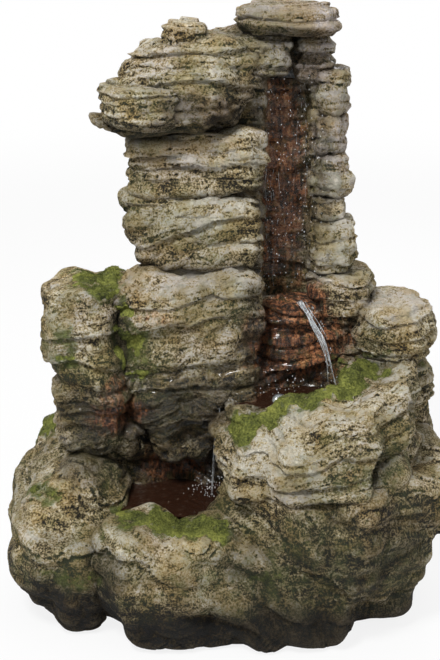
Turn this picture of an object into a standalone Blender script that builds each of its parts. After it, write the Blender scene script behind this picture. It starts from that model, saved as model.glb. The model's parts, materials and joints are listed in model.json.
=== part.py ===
"""A rock-effect garden waterfall: cast stones, stacked and scribed to each other on a hollow base, over a
hidden water tub. A submersible pump lifts the water through a riser hose to a spout under the top slab,
and it runs down a channel, over a ledge, through an upper basin and a lower pool, back into the tub.

Metres, +Z up. The origin is on the ground under the middle of the base. The front faces -Y.
"""
import math
import random
from dataclasses import dataclass

import bmesh
import bpy
from mathutils import Matrix, Vector

# Fits
SCRIBE_GAP = 0.0005         # joint between two stones that are scribed to each other
SEAT_GAP = 0.0003           # clearance between two fitted pieces at rest
BEDDING = 0.012             # how deep a stone is let into its neighbour before it is scribed

# Rock
WALL = 0.010                # thickness of a hollow casting
LEDGE = 0.007               # how far one bed of a stone stands out past the next
CREVICE = 0.006             # depth of the joint between two beds
BED_ROUGHNESS = 0.005       # waviness of a bed's edge in plan
GROOVE_SHARE = 0.045        # most that a crevice may take of a stone's narrower side
BED_TILT = 0.05             # most that one bed's joint leans against the next, metres per metre
STONE_SIDES = 14
SMALL_STONE_SIDES = 9

# Base
BASE_WIDTH = 0.935
BASE_DEPTH = 0.640
PLATE_THICKNESS = 0.008
PLATE_INSET = 0.045         # plate's edge inside the foot of the base
GROUND_MASS_TOP = 0.215
GROUND_LEFT = -0.4075       # lowest mass of the base
GROUND_RIGHT = 0.4375
BASE_FOOT_WIDTH = 0.84      # lowest mass's width at the ground over its full width
BASE_FOOT_DEPTH = 0.97
POOL_LIP_TOP = 0.250        # front lip of the lower pool
LEFT_BANK_TOP = 0.350
SHELF_TOP = 0.345           # seat of the upper basin and of the tower
BASE_HOLLOW_TOP = 0.140     # roof of the hollow under the lower pool

# Lower pool
POOL_LEFT = -0.215
POOL_RIGHT = 0.000
POOL_FRONT = -0.160
POOL_BACK = 0.035
POOL_FLOOR = 0.160
RETURN_RADIUS = 0.024       # hole through which the lower pool drains into the tub
GRATE_RADIUS = 0.030
GRATE_THICKNESS = 0.004

# Upper basin
BASIN_LEFT = -0.020
BASIN_RIGHT = 0.405
BASIN_FRONT = -0.318
BASIN_BACK = 0.075
BASIN_TOP = 0.550
BASIN_POOL_LEFT = 0.045
BASIN_POOL_RIGHT = 0.262
BASIN_POOL_FRONT = -0.165
BASIN_POOL_BACK = 0.020
BASIN_POOL_FLOOR = 0.425
BASIN_SPILL_WIDTH = 0.050
BASIN_SPILL_LEVEL = 0.458

# Tower
CORE_LEFT = -0.185
CORE_RIGHT = 0.215
CORE_FRONT = 0.055
CORE_BACK = 0.270
OVERALL_HEIGHT = 1.256
SLAB_THICKNESS = 0.060
HEAD_TOP = OVERALL_HEIGHT - SLAB_THICKNESS - 0.046      # top of the header block above the shaft
CORE_TOP = HEAD_TOP - 0.130                             # top of the main shaft
HEAD_LEFT = -0.030
CHANNEL_LEFT = 0.075
CHANNEL_WIDTH = 0.100
CHANNEL_DEPTH = 0.055
CHANNEL_SILL = HEAD_TOP - 0.050      # level at which the water runs over into the channel
WELL_FLOOR = CHANNEL_SILL - 0.020
WELL_FRONT = 0.128
SPILL_TOP = 0.655           # ledge at the foot of the channel
LOWER_STONE_RISE = 0.150
UPPER_STONE_RISE = 0.125
CAP_RISE = 0.186
BOULDER_TOP = OVERALL_HEIGHT - SLAB_THICKNESS - CAP_RISE - UPPER_STONE_RISE - LOWER_STONE_RISE

# Tub
TUB_WIDTH = 0.460
TUB_DEPTH = 0.330
TUB_HEIGHT = 0.112
TUB_WALL = 0.004
TUB_CORNER = 0.070
TUB_BACK = 0.220            # y of the tub's rear wall
TUB_RIM = 0.008
TUB_DRAFT = 0.010
TUB_CLEARANCE = 0.008       # free space round the rim, inside the base
BUNG_RADIUS = 0.011
BUNG_HEIGHT = 0.030

# Pump
PUMP_X = 0.100              # joint face between the motor and the volute
PUMP_Y = 0.165
MOTOR_LENGTH = 0.078
MOTOR_WIDTH = 0.062
MOTOR_HEIGHT = 0.064
MOTOR_CORNER = 0.012
ROTOR_RADIUS = 0.0105
ROTOR_LENGTH = 0.042
ROTOR_CLEARANCE = 0.0008
SHAFT_RADIUS = 0.0020
BUSH_RADIUS = 0.0050
BUSH_LENGTH = 0.004
VOLUTE_RADIUS = 0.029
VOLUTE_LENGTH = 0.022
VOLUTE_WALL = 0.003
EYE_RADIUS = 0.0095
IMPELLER_RADIUS = 0.021
BLADE_COUNT = 6
BLADE_HEIGHT = 0.008
OUTLET_RADIUS = 0.0100
OUTLET_WALL = 0.0025
OUTLET_RISE = 0.020         # outlet pipe above the volute
CAGE_LENGTH = 0.030
CAGE_WALL = 0.002
CAGE_SLOTS = 8
DIAL_RADIUS = 0.012
DIAL_THICKNESS = 0.007
DIAL_STEM_RADIUS = 0.003
DIAL_LOBES = 16
FOOT_RADIUS = 0.009
FOOT_HEIGHT = 0.009

# Riser hose
HOSE_RADIUS = 0.0118
HOSE_BORE = 0.0093
BARB_RADIUS = 0.0086
BARB_LENGTH = 0.026
SPOUT_X = 0.100
SPOUT_Y = 0.190
SPOUT_RISE = 0.032
SPOUT_FLANGE = 0.018
CLIP_WIDTH = 0.008

# Rear hatch
HATCH_FACE = 0.300          # y of the flat landing at the back of the base
HATCH_WIDTH = 0.200         # door
HATCH_HEIGHT = 0.160
HATCH_SILL = 0.030          # door's lower edge
HATCH_LAP = 0.012           # door past the edge of the opening
HATCH_THICKNESS = 0.006
LANDING_MARGIN = 0.042      # landing past the door at each side
PIN_RADIUS = 0.0016
BARREL_RADIUS = 0.0042
HINGE_LENGTH = 0.090
LEAF_WIDTH = 0.024
LEAF_THICKNESS = 0.0015
GLAND_RADIUS = 0.0080
BUTTON_LENGTH = 0.036
BUTTON_WIDTH = 0.011
BUTTON_THICKNESS = 0.004

# Pool lamps
LAMP_RADIUS = 0.015
LAMP_LENGTH = 0.034
LAMP_PIVOT_RISE = 0.030
BRACKET_THICKNESS = 0.002

# Derived levels
BASE_FOOT = PLATE_THICKNESS + SEAT_GAP
CHANNEL_RIGHT = CHANNEL_LEFT + CHANNEL_WIDTH
LOWER_STONE_TOP = BOULDER_TOP + LOWER_STONE_RISE
UPPER_STONE_TOP = LOWER_STONE_TOP + UPPER_STONE_RISE
CAP_TOP = UPPER_STONE_TOP + CAP_RISE
SLAB_BOTTOM = OVERALL_HEIGHT - SLAB_THICKNESS
TUB_FLOOR = BASE_FOOT + TUB_WALL
PUMP_Z = TUB_FLOOR + FOOT_HEIGHT + 2 * SEAT_GAP + MOTOR_HEIGHT / 2


@dataclass(frozen=True)
class Stone:
    """A block of bedded rock, given by its box and by how its beds lie in it."""
    x: tuple                # left and right
    y: tuple                # front and back
    z: tuple                # bottom and top
    beds: int
    seed: int
    foot: tuple = (0.92, 0.92)      # plan at the bottom over the widest plan
    crown: tuple = (0.88, 0.88)     # plan at the top over the widest plan
    lean: tuple = (0.0, 0.0)        # how far the crown lies off the foot
    dip: tuple = (0.0, 0.0)         # rise of the beds per metre, to the right and to the back
    square: float = 3.4             # 2 is an ellipse in plan, and more is squarer
    widest: float = 0.55            # share of the height at which the plan is full
    faced: bool = False             # beds with an upright face, not one that slopes back to the next
    sides: int = STONE_SIDES
    lobes: float = 0.030            # bumps in the outline over the narrower side


GROUND_MASS = Stone((GROUND_LEFT, GROUND_RIGHT), (-BASE_DEPTH / 2 + 0.016, BASE_DEPTH / 2),
                    (BASE_FOOT, GROUND_MASS_TOP), 3, 11, foot=(BASE_FOOT_WIDTH, BASE_FOOT_DEPTH),
                    crown=(0.96, 0.94), square=2.15, sides=24, lobes=0.008)
BASE_MASSES = (
    GROUND_MASS,
    Stone((-BASE_WIDTH / 2, POOL_LEFT + 0.010), (-0.262, 0.230), (BASE_FOOT + 0.004, LEFT_BANK_TOP), 4, 23,
          foot=(0.60, 0.76), crown=(0.66, 0.70), lean=(-0.080, 0.050), dip=(0.26, 0.14), square=2.4,
          sides=16),
    Stone((-0.268, 0.064), (-BASE_DEPTH / 2, POOL_FRONT + 0.035), (BASE_FOOT + 0.004, POOL_LIP_TOP), 4, 31,
          foot=(0.88, 0.86), crown=(0.92, 0.86), lean=(-0.020, 0.0), dip=(-0.06, 0.0), square=2.6,
          sides=14),
    Stone((POOL_RIGHT - 0.040, BASE_WIDTH / 2), (-0.316, 0.240), (BASE_FOOT + 0.006, SHELF_TOP), 4, 43,
          foot=(0.70, 0.82), crown=(0.92, 0.90), lean=(0.050, 0.0), dip=(0.03, 0.0), square=1.9,
          sides=18),
    Stone((-0.385, 0.425), (POOL_BACK - 0.035, BASE_DEPTH / 2), (0.120, SHELF_TOP), 2, 51,
          foot=(1.0, 1.0), crown=(0.93, 0.90), square=3.0, sides=16, lobes=0.012),
    Stone((-0.325, -0.080), (-0.035, CORE_FRONT + 0.070), (SHELF_TOP - 0.060, 0.450), 1, 151,
          foot=(0.95, 0.95), crown=(0.80, 0.75), dip=(-0.25, 0.10), sides=SMALL_STONE_SIDES),
    Stone((BASIN_LEFT + 0.100, BASIN_RIGHT - 0.010), (BASIN_FRONT + 0.045, 0.090),
          (SHELF_TOP - 0.085, SHELF_TOP + 0.075), 1, 157, foot=(0.95, 0.95), crown=(0.96, 0.94),
          dip=(0.20, 0.10), square=2.2, sides=SMALL_STONE_SIDES, lobes=0.010),
)
CORE_MASSES = (
    Stone((CORE_LEFT, CORE_RIGHT), (CORE_FRONT, CORE_BACK), (SHELF_TOP - BEDDING, CORE_TOP), 6, 61,
          foot=(1.0, 1.0), crown=(0.97, 0.97), square=6.0, sides=16, lobes=0.012, faced=True),
    Stone((HEAD_LEFT, CORE_RIGHT), (CORE_FRONT, CORE_BACK - 0.006), (CORE_TOP - 0.060, HEAD_TOP), 2, 67,
          foot=(1.0, 1.0), crown=(0.95, 0.95), square=6.0, sides=16, lobes=0.012),
)
COLUMN = {
    "centre_boulder": Stone(
        (CHANNEL_LEFT - 0.312, CHANNEL_LEFT), (CORE_FRONT - 0.135, CORE_FRONT + BEDDING),
        (SHELF_TOP - 0.045, BOULDER_TOP), 5, 71, foot=(0.42, 0.50), crown=(0.90, 0.50),
        lean=(-0.012, -0.012), dip=(0.02, 0.14), widest=0.80, sides=18, faced=True),
    "column_stone_lower": Stone(
        (CHANNEL_LEFT - 0.288, CHANNEL_LEFT - 0.006), (CORE_FRONT - 0.092, CORE_FRONT + BEDDING),
        (BOULDER_TOP - BEDDING, LOWER_STONE_TOP), 3, 83, foot=(0.82, 0.85), crown=(0.95, 0.90),
        lean=(-0.012, 0.0), dip=(-0.06, 0.0), faced=True),
    "column_stone_upper": Stone(
        (CHANNEL_LEFT - 0.272, CHANNEL_LEFT - 0.002), (CORE_FRONT - 0.080, CORE_FRONT + BEDDING),
        (LOWER_STONE_TOP - BEDDING, UPPER_STONE_TOP), 2, 97, foot=(0.94, 0.94), crown=(0.92, 0.85),
        dip=(0.10, 0.0), faced=True),
    "cap_slab": Stone(
        (CHANNEL_LEFT - 0.325, CHANNEL_LEFT + 0.003), (CORE_FRONT - 0.125, CORE_BACK - 0.060),
        (UPPER_STONE_TOP - 0.005, CAP_TOP), 4, 103, foot=(0.70, 0.80), crown=(0.66, 0.82),
        lean=(0.045, 0.030), dip=(0.13, 0.06), square=3.2, widest=0.40, sides=16, faced=True),
    "cap_shelf_stone": Stone(
        (CHANNEL_LEFT - 0.339, CHANNEL_LEFT - 0.165), (CORE_FRONT - 0.160, CORE_FRONT + 0.040),
        (UPPER_STONE_TOP + 0.008, UPPER_STONE_TOP + 0.096), 2, 109, foot=(0.80, 0.85),
        crown=(0.96, 0.92), dip=(-0.05, 0.0), sides=SMALL_STONE_SIDES),
    "cap_pebble": Stone(
        (CHANNEL_LEFT - 0.208, CHANNEL_LEFT - 0.112), (CORE_FRONT - 0.070, CORE_FRONT + 0.040),
        (CAP_TOP - 0.045, CAP_TOP + 0.030), 1, 113, crown=(0.74, 0.80), lean=(0.006, 0.0), square=2.4,
        sides=SMALL_STONE_SIDES, faced=True),
}
HEAD_STONES = {
    "bridge_stone": Stone(
        (CHANNEL_LEFT - 0.090, CHANNEL_RIGHT - 0.040), (CORE_FRONT - 0.060, CORE_FRONT + 0.085),
        (HEAD_TOP - 0.035, SLAB_BOTTOM - SEAT_GAP), 2, 127, foot=(0.90, 0.90), crown=(0.94, 0.90),
        sides=SMALL_STONE_SIDES),
    "neck_stone": Stone(
        (CHANNEL_RIGHT - 0.055, CORE_RIGHT + 0.012), (CORE_FRONT - 0.020, CORE_FRONT + 0.105),
        (HEAD_TOP - 0.060, SLAB_BOTTOM - SEAT_GAP), 3, 131, foot=(0.62, 0.75), crown=(1.0, 0.95),
        lean=(0.004, 0.0), sides=SMALL_STONE_SIDES),
    "rear_coping_stone": Stone(
        (HEAD_LEFT - 0.010, CORE_RIGHT - 0.010), (CORE_BACK - 0.070, CORE_BACK + 0.002),
        (HEAD_TOP - BEDDING, SLAB_BOTTOM - SEAT_GAP), 1, 137, crown=(0.94, 0.90),
        sides=SMALL_STONE_SIDES),
}
PIER_COURSES = (0.088, 0.078, 0.092, 0.052, 0.115)     # heights of the pier's stones, top to bottom
PIER_WIDTHS = (0.070, 0.066, 0.078, 0.068, 0.092)
PIER_TOP = CHANNEL_SILL + 0.022
PIER_LEFT = CHANNEL_RIGHT + 0.004
PIER_FRONT = CORE_FRONT - 0.028
PIER_BACK = CORE_FRONT + 0.105
PIER_FOOT_TOP = PIER_TOP - sum(PIER_COURSES)
SLAB = Stone((CHANNEL_LEFT - 0.060, CORE_RIGHT + 0.018), (CORE_FRONT - 0.085, CORE_BACK - 0.030),
             (SLAB_BOTTOM, OVERALL_HEIGHT), 2, 139, foot=(0.95, 0.93), crown=(0.80, 0.80),
             lean=(0.006, 0.0), square=2.8)
FLANKS = {
    "left_ledge_rock": Stone(
        (-0.384, CHANNEL_LEFT - 0.270), (-0.110, 0.130), (SHELF_TOP - BEDDING, 0.706), 5, 149,
        foot=(0.70, 0.75), crown=(0.95, 0.90), lean=(-0.030, -0.020), dip=(0.03, 0.0), faced=True),
    "pier_foot_stone": Stone(
        (PIER_LEFT - 0.010, 0.322), (PIER_FRONT - 0.040, PIER_BACK + 0.050),
        (PIER_FOOT_TOP - 0.112, PIER_FOOT_TOP + BEDDING), 2, 157, foot=(0.90, 0.90), crown=(0.80, 0.80),
        dip=(-0.10, 0.0), sides=SMALL_STONE_SIDES),
    "flank_rock": Stone(
        (CHANNEL_RIGHT - 0.010, 0.372), (PIER_FRONT - 0.030, 0.215),
        (SHELF_TOP - BEDDING, PIER_FOOT_TOP - 0.087), 3, 163, foot=(0.95, 0.95), crown=(0.90, 0.85),
        dip=(-0.05, 0.0)),
    "right_shoulder_rock": Stone(
        (0.262, 0.448), (-0.070, 0.165), (0.515, 0.655), 3, 167, foot=(0.70, 0.75),
        crown=(0.80, 0.80), lean=(-0.012, 0.010), dip=(-0.06, 0.04), square=2.6),
    "rear_right_rock": Stone(
        (0.300, 0.462), (0.010, 0.245), (SHELF_TOP - 0.090, 0.520), 4, 173, foot=(0.95, 0.92),
        crown=(0.66, 0.80), lean=(-0.012, 0.0), square=2.8, sides=14),
    "rear_left_rock": Stone(
        (-0.330, CORE_LEFT + 0.030), (0.090, 0.262), (SHELF_TOP - BEDDING, 0.560), 3, 179,
        foot=(1.0, 1.0), crown=(0.72, 0.80), lean=(0.015, 0.0), square=2.8, sides=14),
}
BASIN = Stone((BASIN_LEFT, BASIN_RIGHT), (BASIN_FRONT, BASIN_BACK), (SHELF_TOP - 0.040, BASIN_TOP), 4,
              181, foot=(0.84, 0.90), crown=(0.84, 0.66), lean=(0.020, 0.030), dip=(0.30, 0.16),
              square=1.9, widest=0.45, sides=20, faced=True)
SPILL = {
    "splash_wall": Stone(
        (CHANNEL_LEFT - 0.030, CHANNEL_RIGHT + 0.095), (-0.020, CORE_FRONT + BEDDING),
        (BASIN_POOL_FLOOR + 0.010, SPILL_TOP - 0.045), 3, 191, foot=(1.0, 1.0), crown=(0.85, 0.70),
        lean=(-0.008, 0.018), square=3.0, sides=14),
    "spill_ledge": Stone(
        (CHANNEL_LEFT - 0.012, CHANNEL_RIGHT + 0.038), (-0.022, CORE_FRONT + CHANNEL_DEPTH + BEDDING),
        (SPILL_TOP - 0.056, SPILL_TOP), 2, 193, foot=(0.85, 0.90), crown=(0.90, 0.92),
        dip=(0.0, 0.12), square=3.0, sides=14),
}


def finish(name, colour, roughness, metallic=0.0):
    """One plain material of a piece."""
    material = bpy.data.materials.new(name)
    material.use_nodes = True
    shader = material.node_tree.nodes["Principled BSDF"]
    shader.inputs["Base Color"].default_value = (*colour, 1.0)
    shader.inputs["Roughness"].default_value = roughness
    shader.inputs["Metallic"].default_value = metallic
    material.diffuse_color = (*colour, 1.0)
    return material


def solid(name, bm, material=None):
    """Put a closed mesh into the scene as an object."""
    bmesh.ops.recalc_face_normals(bm, faces=bm.faces)
    mesh = bpy.data.meshes.new(name)
    bm.to_mesh(mesh)
    bm.free()
    obj = bpy.data.objects.new(name, mesh)
    bpy.context.scene.collection.objects.link(obj)
    if material:
        mesh.materials.append(material)
    return obj


def combine(obj, tool_meshes, operation, solver="EXACT"):
    """Run one Boolean after another on an object, each with a closed mesh as its tool."""
    materials = list(obj.data.materials)
    for tool_mesh in tool_meshes:
        tool = solid(obj.name + "_tool", tool_mesh)
        modifier = obj.modifiers.new("Shape", "BOOLEAN")
        modifier.operation = operation
        modifier.solver = solver
        modifier.object = tool
        evaluated = obj.evaluated_get(bpy.context.evaluated_depsgraph_get())
        shaped = bpy.data.meshes.new_from_object(evaluated)
        obj.modifiers.clear()
        obj.data = shaped
        bpy.data.objects.remove(tool, do_unlink=True)
    obj.data.name = obj.name
    obj.data.materials.clear()
    for material in materials:
        obj.data.materials.append(material)
    return obj


def cut(obj, *tool_meshes):
    return combine(obj, tool_meshes, "DIFFERENCE")


def join(obj, *tool_meshes):
    return combine(obj, tool_meshes, "UNION")


def cut_fine(obj, *tool_meshes):
    """A cut among faces that meet at such flat angles that only the manifold solver stays closed."""
    return combine(obj, tool_meshes, "DIFFERENCE", solver="MANIFOLD")


def join_fine(obj, *tool_meshes):
    return combine(obj, tool_meshes, "UNION", solver="MANIFOLD")


def drop_offcuts(obj):
    """Keep the largest piece of a scribed stone and drop the chips that the cuts left beside it."""
    bm = bmesh.new()
    bm.from_mesh(obj.data)
    bmesh.ops.triangulate(bm, faces=bm.faces)
    left = set(bm.verts)
    islands = []
    while left:
        island, edge = set(), [left.pop()]
        while edge:
            vertex = edge.pop()
            island.add(vertex)
            near = {link.other_vert(vertex) for link in vertex.link_edges} & left
            left -= near
            edge.extend(near)
        islands.append(island)
    if len(islands) > 1:
        islands.sort(key=len)
        bmesh.ops.delete(bm, geom=[v for island in islands[:-1] for v in island], context="VERTS")
    bm.to_mesh(obj.data)
    bm.free()
    return obj


def shade_round(obj, angle=math.radians(35)):
    obj.data.shade_smooth()
    obj.data.set_sharp_from_angle(angle=angle)
    return obj


def place(bm, at=(0, 0, 0), turn=0.0, axis="Z"):
    """Turn a mesh about its own origin and then move it."""
    bmesh.ops.transform(bm, matrix=Matrix.Translation(at) @ Matrix.Rotation(turn, 4, axis), verts=bm.verts)
    return bm


def along_x(bm, at):
    """Lay a mesh that was made along +Z along +X, with its origin at a point."""
    return place(bm, at, math.pi / 2, "Y")


def skin(bm, lower, upper):
    """Faces between two loops, or between a loop and a single point."""
    if len(lower) == 1 and len(upper) == 1:
        return
    count = max(len(lower), len(upper))
    for k in range(count):
        n = (k + 1) % count
        if len(lower) == 1:
            bm.faces.new((lower[0], upper[n], upper[k]))
        elif len(upper) == 1:
            bm.faces.new((lower[k], lower[n], upper[0]))
        else:
            bm.faces.new((lower[k], lower[n], upper[n], upper[k]))


def loft(loops, closed_ring=False):
    """A solid through a row of loops of points; its ends are filled unless the last joins the first."""
    bm = bmesh.new()
    rings = [[bm.verts.new(point) for point in loop] for loop in loops]
    for lower, upper in zip(rings, rings[1:]):
        skin(bm, lower, upper)
    if closed_ring:
        skin(bm, rings[-1], rings[0])
    else:
        for ring in (rings[0], rings[-1]):
            if len(ring) > 2:
                bm.faces.new(ring)
    bmesh.ops.recalc_face_normals(bm, faces=bm.faces)
    return bm


def circle(radius, height, sides, offset=(0.0, 0.0)):
    if radius <= 0:
        return [(offset[0], offset[1], height)]
    turns = [math.tau * k / sides for k in range(sides)]
    return [(offset[0] + radius * math.cos(t), offset[1] + radius * math.sin(t), height) for t in turns]


def turned(profile, sides=12):
    """Turn a profile of (radius, height) about Z. One that stays off the axis makes a ring."""
    on_axis = profile[0][0] <= 0 or profile[-1][0] <= 0
    return loft([circle(radius, height, sides) for radius, height in profile], closed_ring=not on_axis)


def rod(radius, low, high, sides=10):
    return turned([(0, low), (radius, low), (radius, high), (0, high)], sides)


def rounded(width, depth, corner, height, steps=3, centre=(0.0, 0.0)):
    """A rounded rectangle as a loop of points."""
    points = []
    for quarter, (sx, sy) in enumerate(((1, 1), (-1, 1), (-1, -1), (1, -1))):
        for step in range(steps + 1):
            turn = (quarter + step / steps) * math.pi / 2
            points.append((centre[0] + sx * (width / 2 - corner) + corner * math.cos(turn),
                           centre[1] + sy * (depth / 2 - corner) + corner * math.sin(turn), height))
    return points


def block(x, y, z, corner=0.0):
    """A box between two planes along each axis, its edges rounded over."""
    bm = bmesh.new()
    bmesh.ops.create_cube(bm, size=1.0)
    size = Matrix.Diagonal((x[1] - x[0], y[1] - y[0], z[1] - z[0], 1.0))
    centre = Matrix.Translation(((x[0] + x[1]) / 2, (y[0] + y[1]) / 2, (z[0] + z[1]) / 2))
    bmesh.ops.transform(bm, matrix=centre @ size, verts=bm.verts)
    if corner:
        bmesh.ops.bevel(bm, geom=bm.edges, offset=corner, segments=1, affect="EDGES")
    return bm


def swelling(share, foot, crown, widest=0.55):
    """Plan scale of a stone at a share of its height: foot, then full, then crown."""
    if share < widest:
        return 1 - (1 - foot) * (1 - share / widest) ** 2
    return 1 - (1 - crown) * ((share - widest) / (1 - widest)) ** 2


def fit(bm, x, y, z):
    """Scale and move a mesh so that it fills a box exactly."""
    for axis, (low, high) in enumerate((x, y, z)):
        at = [vertex.co[axis] for vertex in bm.verts]
        scale = (high - low) / (max(at) - min(at))
        least = min(at)
        for vertex in bm.verts:
            vertex.co[axis] = low + (vertex.co[axis] - least) * scale


def stone_mesh(stone, grow=0.0):
    """The beds of a stone, ring by ring. Each has its own stand and edge, with a crevice under it."""
    rng = random.Random(stone.seed)
    width, depth, height = (high - low for low, high in (stone.x, stone.y, stone.z))
    turns = [math.tau * (k + rng.uniform(-0.25, 0.25)) / stone.sides for k in range(stone.sides)]
    narrow = min(width, depth)
    groove = min(CREVICE, GROOVE_SHARE * narrow)
    shape = [rng.gauss(0, stone.lobes * narrow) for _ in turns]
    thickness = [rng.uniform(0.6, 1.4) for _ in range(stone.beds)]

    def ring(share, stands, tilt=(0.0, 0.0)):
        wide = swelling(share, stone.foot[0], stone.crown[0], stone.widest) * width / 2
        deep = swelling(share, stone.foot[1], stone.crown[1], stone.widest) * depth / 2
        loop = []
        for turn, stand in zip(turns, stands):
            c, s = math.cos(turn), math.sin(turn)
            reach = (abs(c) ** stone.square + abs(s) ** stone.square) ** (-1 / stone.square)
            x = c * (reach * wide + stand) + stone.lean[0] * (share - 0.5)
            y = s * (reach * deep + stand) + stone.lean[1] * (share - 0.5)
            rise = (stone.dip[0] + tilt[0]) * x + (stone.dip[1] + tilt[1]) * y
            loop.append((x, y, share * height + rise))
        return loop

    loops = []
    low = 0.0
    tilt = (0.0, 0.0)
    for bed in range(stone.beds):
        high = low + thickness[bed] / sum(thickness)
        most = min(BED_TILT, 0.45 * (high - low) * height / max(width, depth))
        above = (rng.uniform(-most, most), rng.uniform(-most, most)) if bed < stone.beds - 1 else (0.0, 0.0)
        stand = rng.uniform(-LEDGE, LEDGE)
        edge = [stand + lobe + rng.gauss(0, min(BED_ROUGHNESS, groove) / 2) for lobe in shape]
        under = [reach - (2 * groove if bed == 0 else groove) for reach in edge]
        loops.append(ring(low, under, tilt))
        brow = rng.uniform(0.30, 0.70)
        if stone.faced:
            loops.append(ring(low + 0.20 * (high - low), edge, tilt))
            edge, brow = [reach + rng.gauss(0, 0.0015) for reach in edge], 0.82
        loops.append(ring(low + brow * (high - low), edge, above))
        low, tilt = high, above
    loops.append(ring(1.0, [reach - 2 * groove for reach in edge]))
    loops.insert(0, [tuple(sum(p[i] for p in loops[0]) / stone.sides for i in range(3))])
    loops.append([tuple(sum(p[i] for p in loops[-1]) / stone.sides for i in range(3))])
    bm = loft(loops)
    fit(bm, stone.x, stone.y, stone.z)
    bmesh.ops.triangulate(bm, faces=bm.faces)
    if grow:
        bm.normal_update()
        moves = [(vertex, vertex.normal * vertex.calc_shell_factor()) for vertex in bm.verts]
        for vertex, move in moves:
            vertex.co += move * grow
    return bm


def hollow(x, y, z, foot=(1.0, 1.0), crown=(0.95, 0.95), square=3.0, sides=12, rings=3):
    """A plain smooth-walled space for the inside of a casting or the bowl of a pool."""
    loops = []
    for step in range(rings):
        share = step / (rings - 1)
        wide = swelling(share, foot[0], crown[0]) * (x[1] - x[0]) / 2
        deep = swelling(share, foot[1], crown[1]) * (y[1] - y[0]) / 2
        loop = []
        for k in range(sides):
            c, s = math.cos(math.tau * k / sides), math.sin(math.tau * k / sides)
            reach = (abs(c) ** square + abs(s) ** square) ** (-1 / square)
            loop.append(((x[0] + x[1]) / 2 + c * reach * wide, (y[0] + y[1]) / 2 + s * reach * deep,
                         z[0] + share * (z[1] - z[0])))
        loops.append(loop)
    return loft(loops)


def touches(a, b, reach=0.003):
    return all(p[0] - reach < q[1] and q[0] - reach < p[1] for p, q in zip((a.x, a.y, a.z), (b.x, b.y, b.z)))


def scribed(name, stone, neighbours, material, clearances=()):
    """A stone, cut back to leave an even joint against each neighbour that was laid before it."""
    obj = solid(name, stone_mesh(stone), material)
    joints = [stone_mesh(other, SCRIBE_GAP) for other in neighbours if touches(stone, other)]
    return drop_offcuts(cut_fine(obj, *clearances, *joints))


def pivot(name, at):
    """An empty on a joint's axis, which the pieces that move with it are parented to."""
    empty = bpy.data.objects.new(name, None)
    empty.empty_display_size = 0.02
    empty.location = at
    bpy.context.scene.collection.objects.link(empty)
    return empty


def carry(empty, *pieces):
    for piece in pieces:
        piece.parent = empty
        piece.matrix_parent_inverse = Matrix.Translation(empty.location).inverted()


def make_base(rock, plate_finish):
    """The hollow base with the lower pool, the rear landing and the hose way, and the plate under it."""
    base = solid("base_rock", stone_mesh(GROUND_MASS), rock)
    join_fine(base, *(stone_mesh(mass) for mass in BASE_MASSES[1:]))
    landing_x = (-HATCH_WIDTH / 2 - LANDING_MARGIN, HATCH_WIDTH / 2 + LANDING_MARGIN)
    landing_z = (BASE_FOOT + 0.002, HATCH_SILL + HATCH_HEIGHT + 0.018)
    join_fine(base, block(landing_x, (HATCH_FACE - 0.060, HATCH_FACE), landing_z, 0.004))
    cut_fine(base, block(landing_x, (HATCH_FACE, BASE_DEPTH), (BASE_FOOT - 0.01, landing_z[1]), 0.0))
    inner_back = HATCH_FACE - WALL
    below = BASE_FOOT - 0.002
    foot = (BASE_FOOT_WIDTH, BASE_FOOT_DEPTH)
    around = TUB_RIM + TUB_CLEARANCE
    cut_fine(base,
        hollow((-TUB_WIDTH / 2 - around, TUB_WIDTH / 2 + around),
               (TUB_BACK - TUB_DEPTH - around, TUB_BACK + around), (below, BASE_HOLLOW_TOP - 0.004),
               crown=(1.0, 1.0), square=5.0),
        hollow((GROUND_LEFT + 6 * WALL, GROUND_RIGHT - 6 * WALL),
               (-BASE_DEPTH / 2 + 7 * WALL, inner_back - 0.005), (below, BASE_HOLLOW_TOP),
               foot=foot, square=2.2, sides=20),
        hollow((-0.300, 0.330), (POOL_BACK + 2 * WALL, inner_back - 0.028),
               (BASE_HOLLOW_TOP - 0.05, SHELF_TOP - 2 * WALL)),
        hollow((POOL_RIGHT + 2 * WALL, 0.400), (-0.235, 0.150),
               (BASE_HOLLOW_TOP - 0.05, SHELF_TOP - 2.5 * WALL), crown=(0.82, 0.82), square=2.1, sides=16))
    opening = HATCH_WIDTH / 2 - HATCH_LAP
    cut_fine(base,
        hollow((POOL_LEFT, POOL_RIGHT), (POOL_FRONT, POOL_BACK), (POOL_FLOOR, SHELF_TOP + 0.03),
               foot=(0.80, 0.78), crown=(1.0, 1.0), square=2.6),
        place(rod(RETURN_RADIUS, BASE_HOLLOW_TOP - 0.02, POOL_FLOOR + 0.02, 20), (*pool_centre(), 0)),
        block((-opening, opening), (inner_back - 0.04, HATCH_FACE + 0.01),
              (HATCH_SILL + HATCH_LAP, HATCH_SILL + HATCH_HEIGHT - HATCH_LAP), 0.006),
        block((CORE_LEFT + 6 * WALL, SPOUT_X + 0.045),
              (CORE_FRONT + CHANNEL_DEPTH + 2.5 * WALL, SPOUT_Y + 0.045),
              (SHELF_TOP - 4 * WALL, SHELF_TOP + 0.02), 0.010),
        place(rod(GLAND_RADIUS + SEAT_GAP, -0.05, 0.02, 16), gland_at(), -math.pi / 2, "X"))
    drop_offcuts(base)
    middle = (GROUND_LEFT + GROUND_RIGHT) / 2
    plate_x = (GROUND_RIGHT - GROUND_LEFT) / 2 * BASE_FOOT_WIDTH - PLATE_INSET
    plate_y = BASE_DEPTH / 2 * BASE_FOOT_DEPTH - PLATE_INSET
    plate = solid("base_plate", hollow(
        (middle - plate_x, middle + plate_x), (-plate_y, plate_y), (0, PLATE_THICKNESS),
        crown=(1.0, 1.0), square=2.2, sides=30, rings=2), plate_finish)
    return [base, plate]


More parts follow.
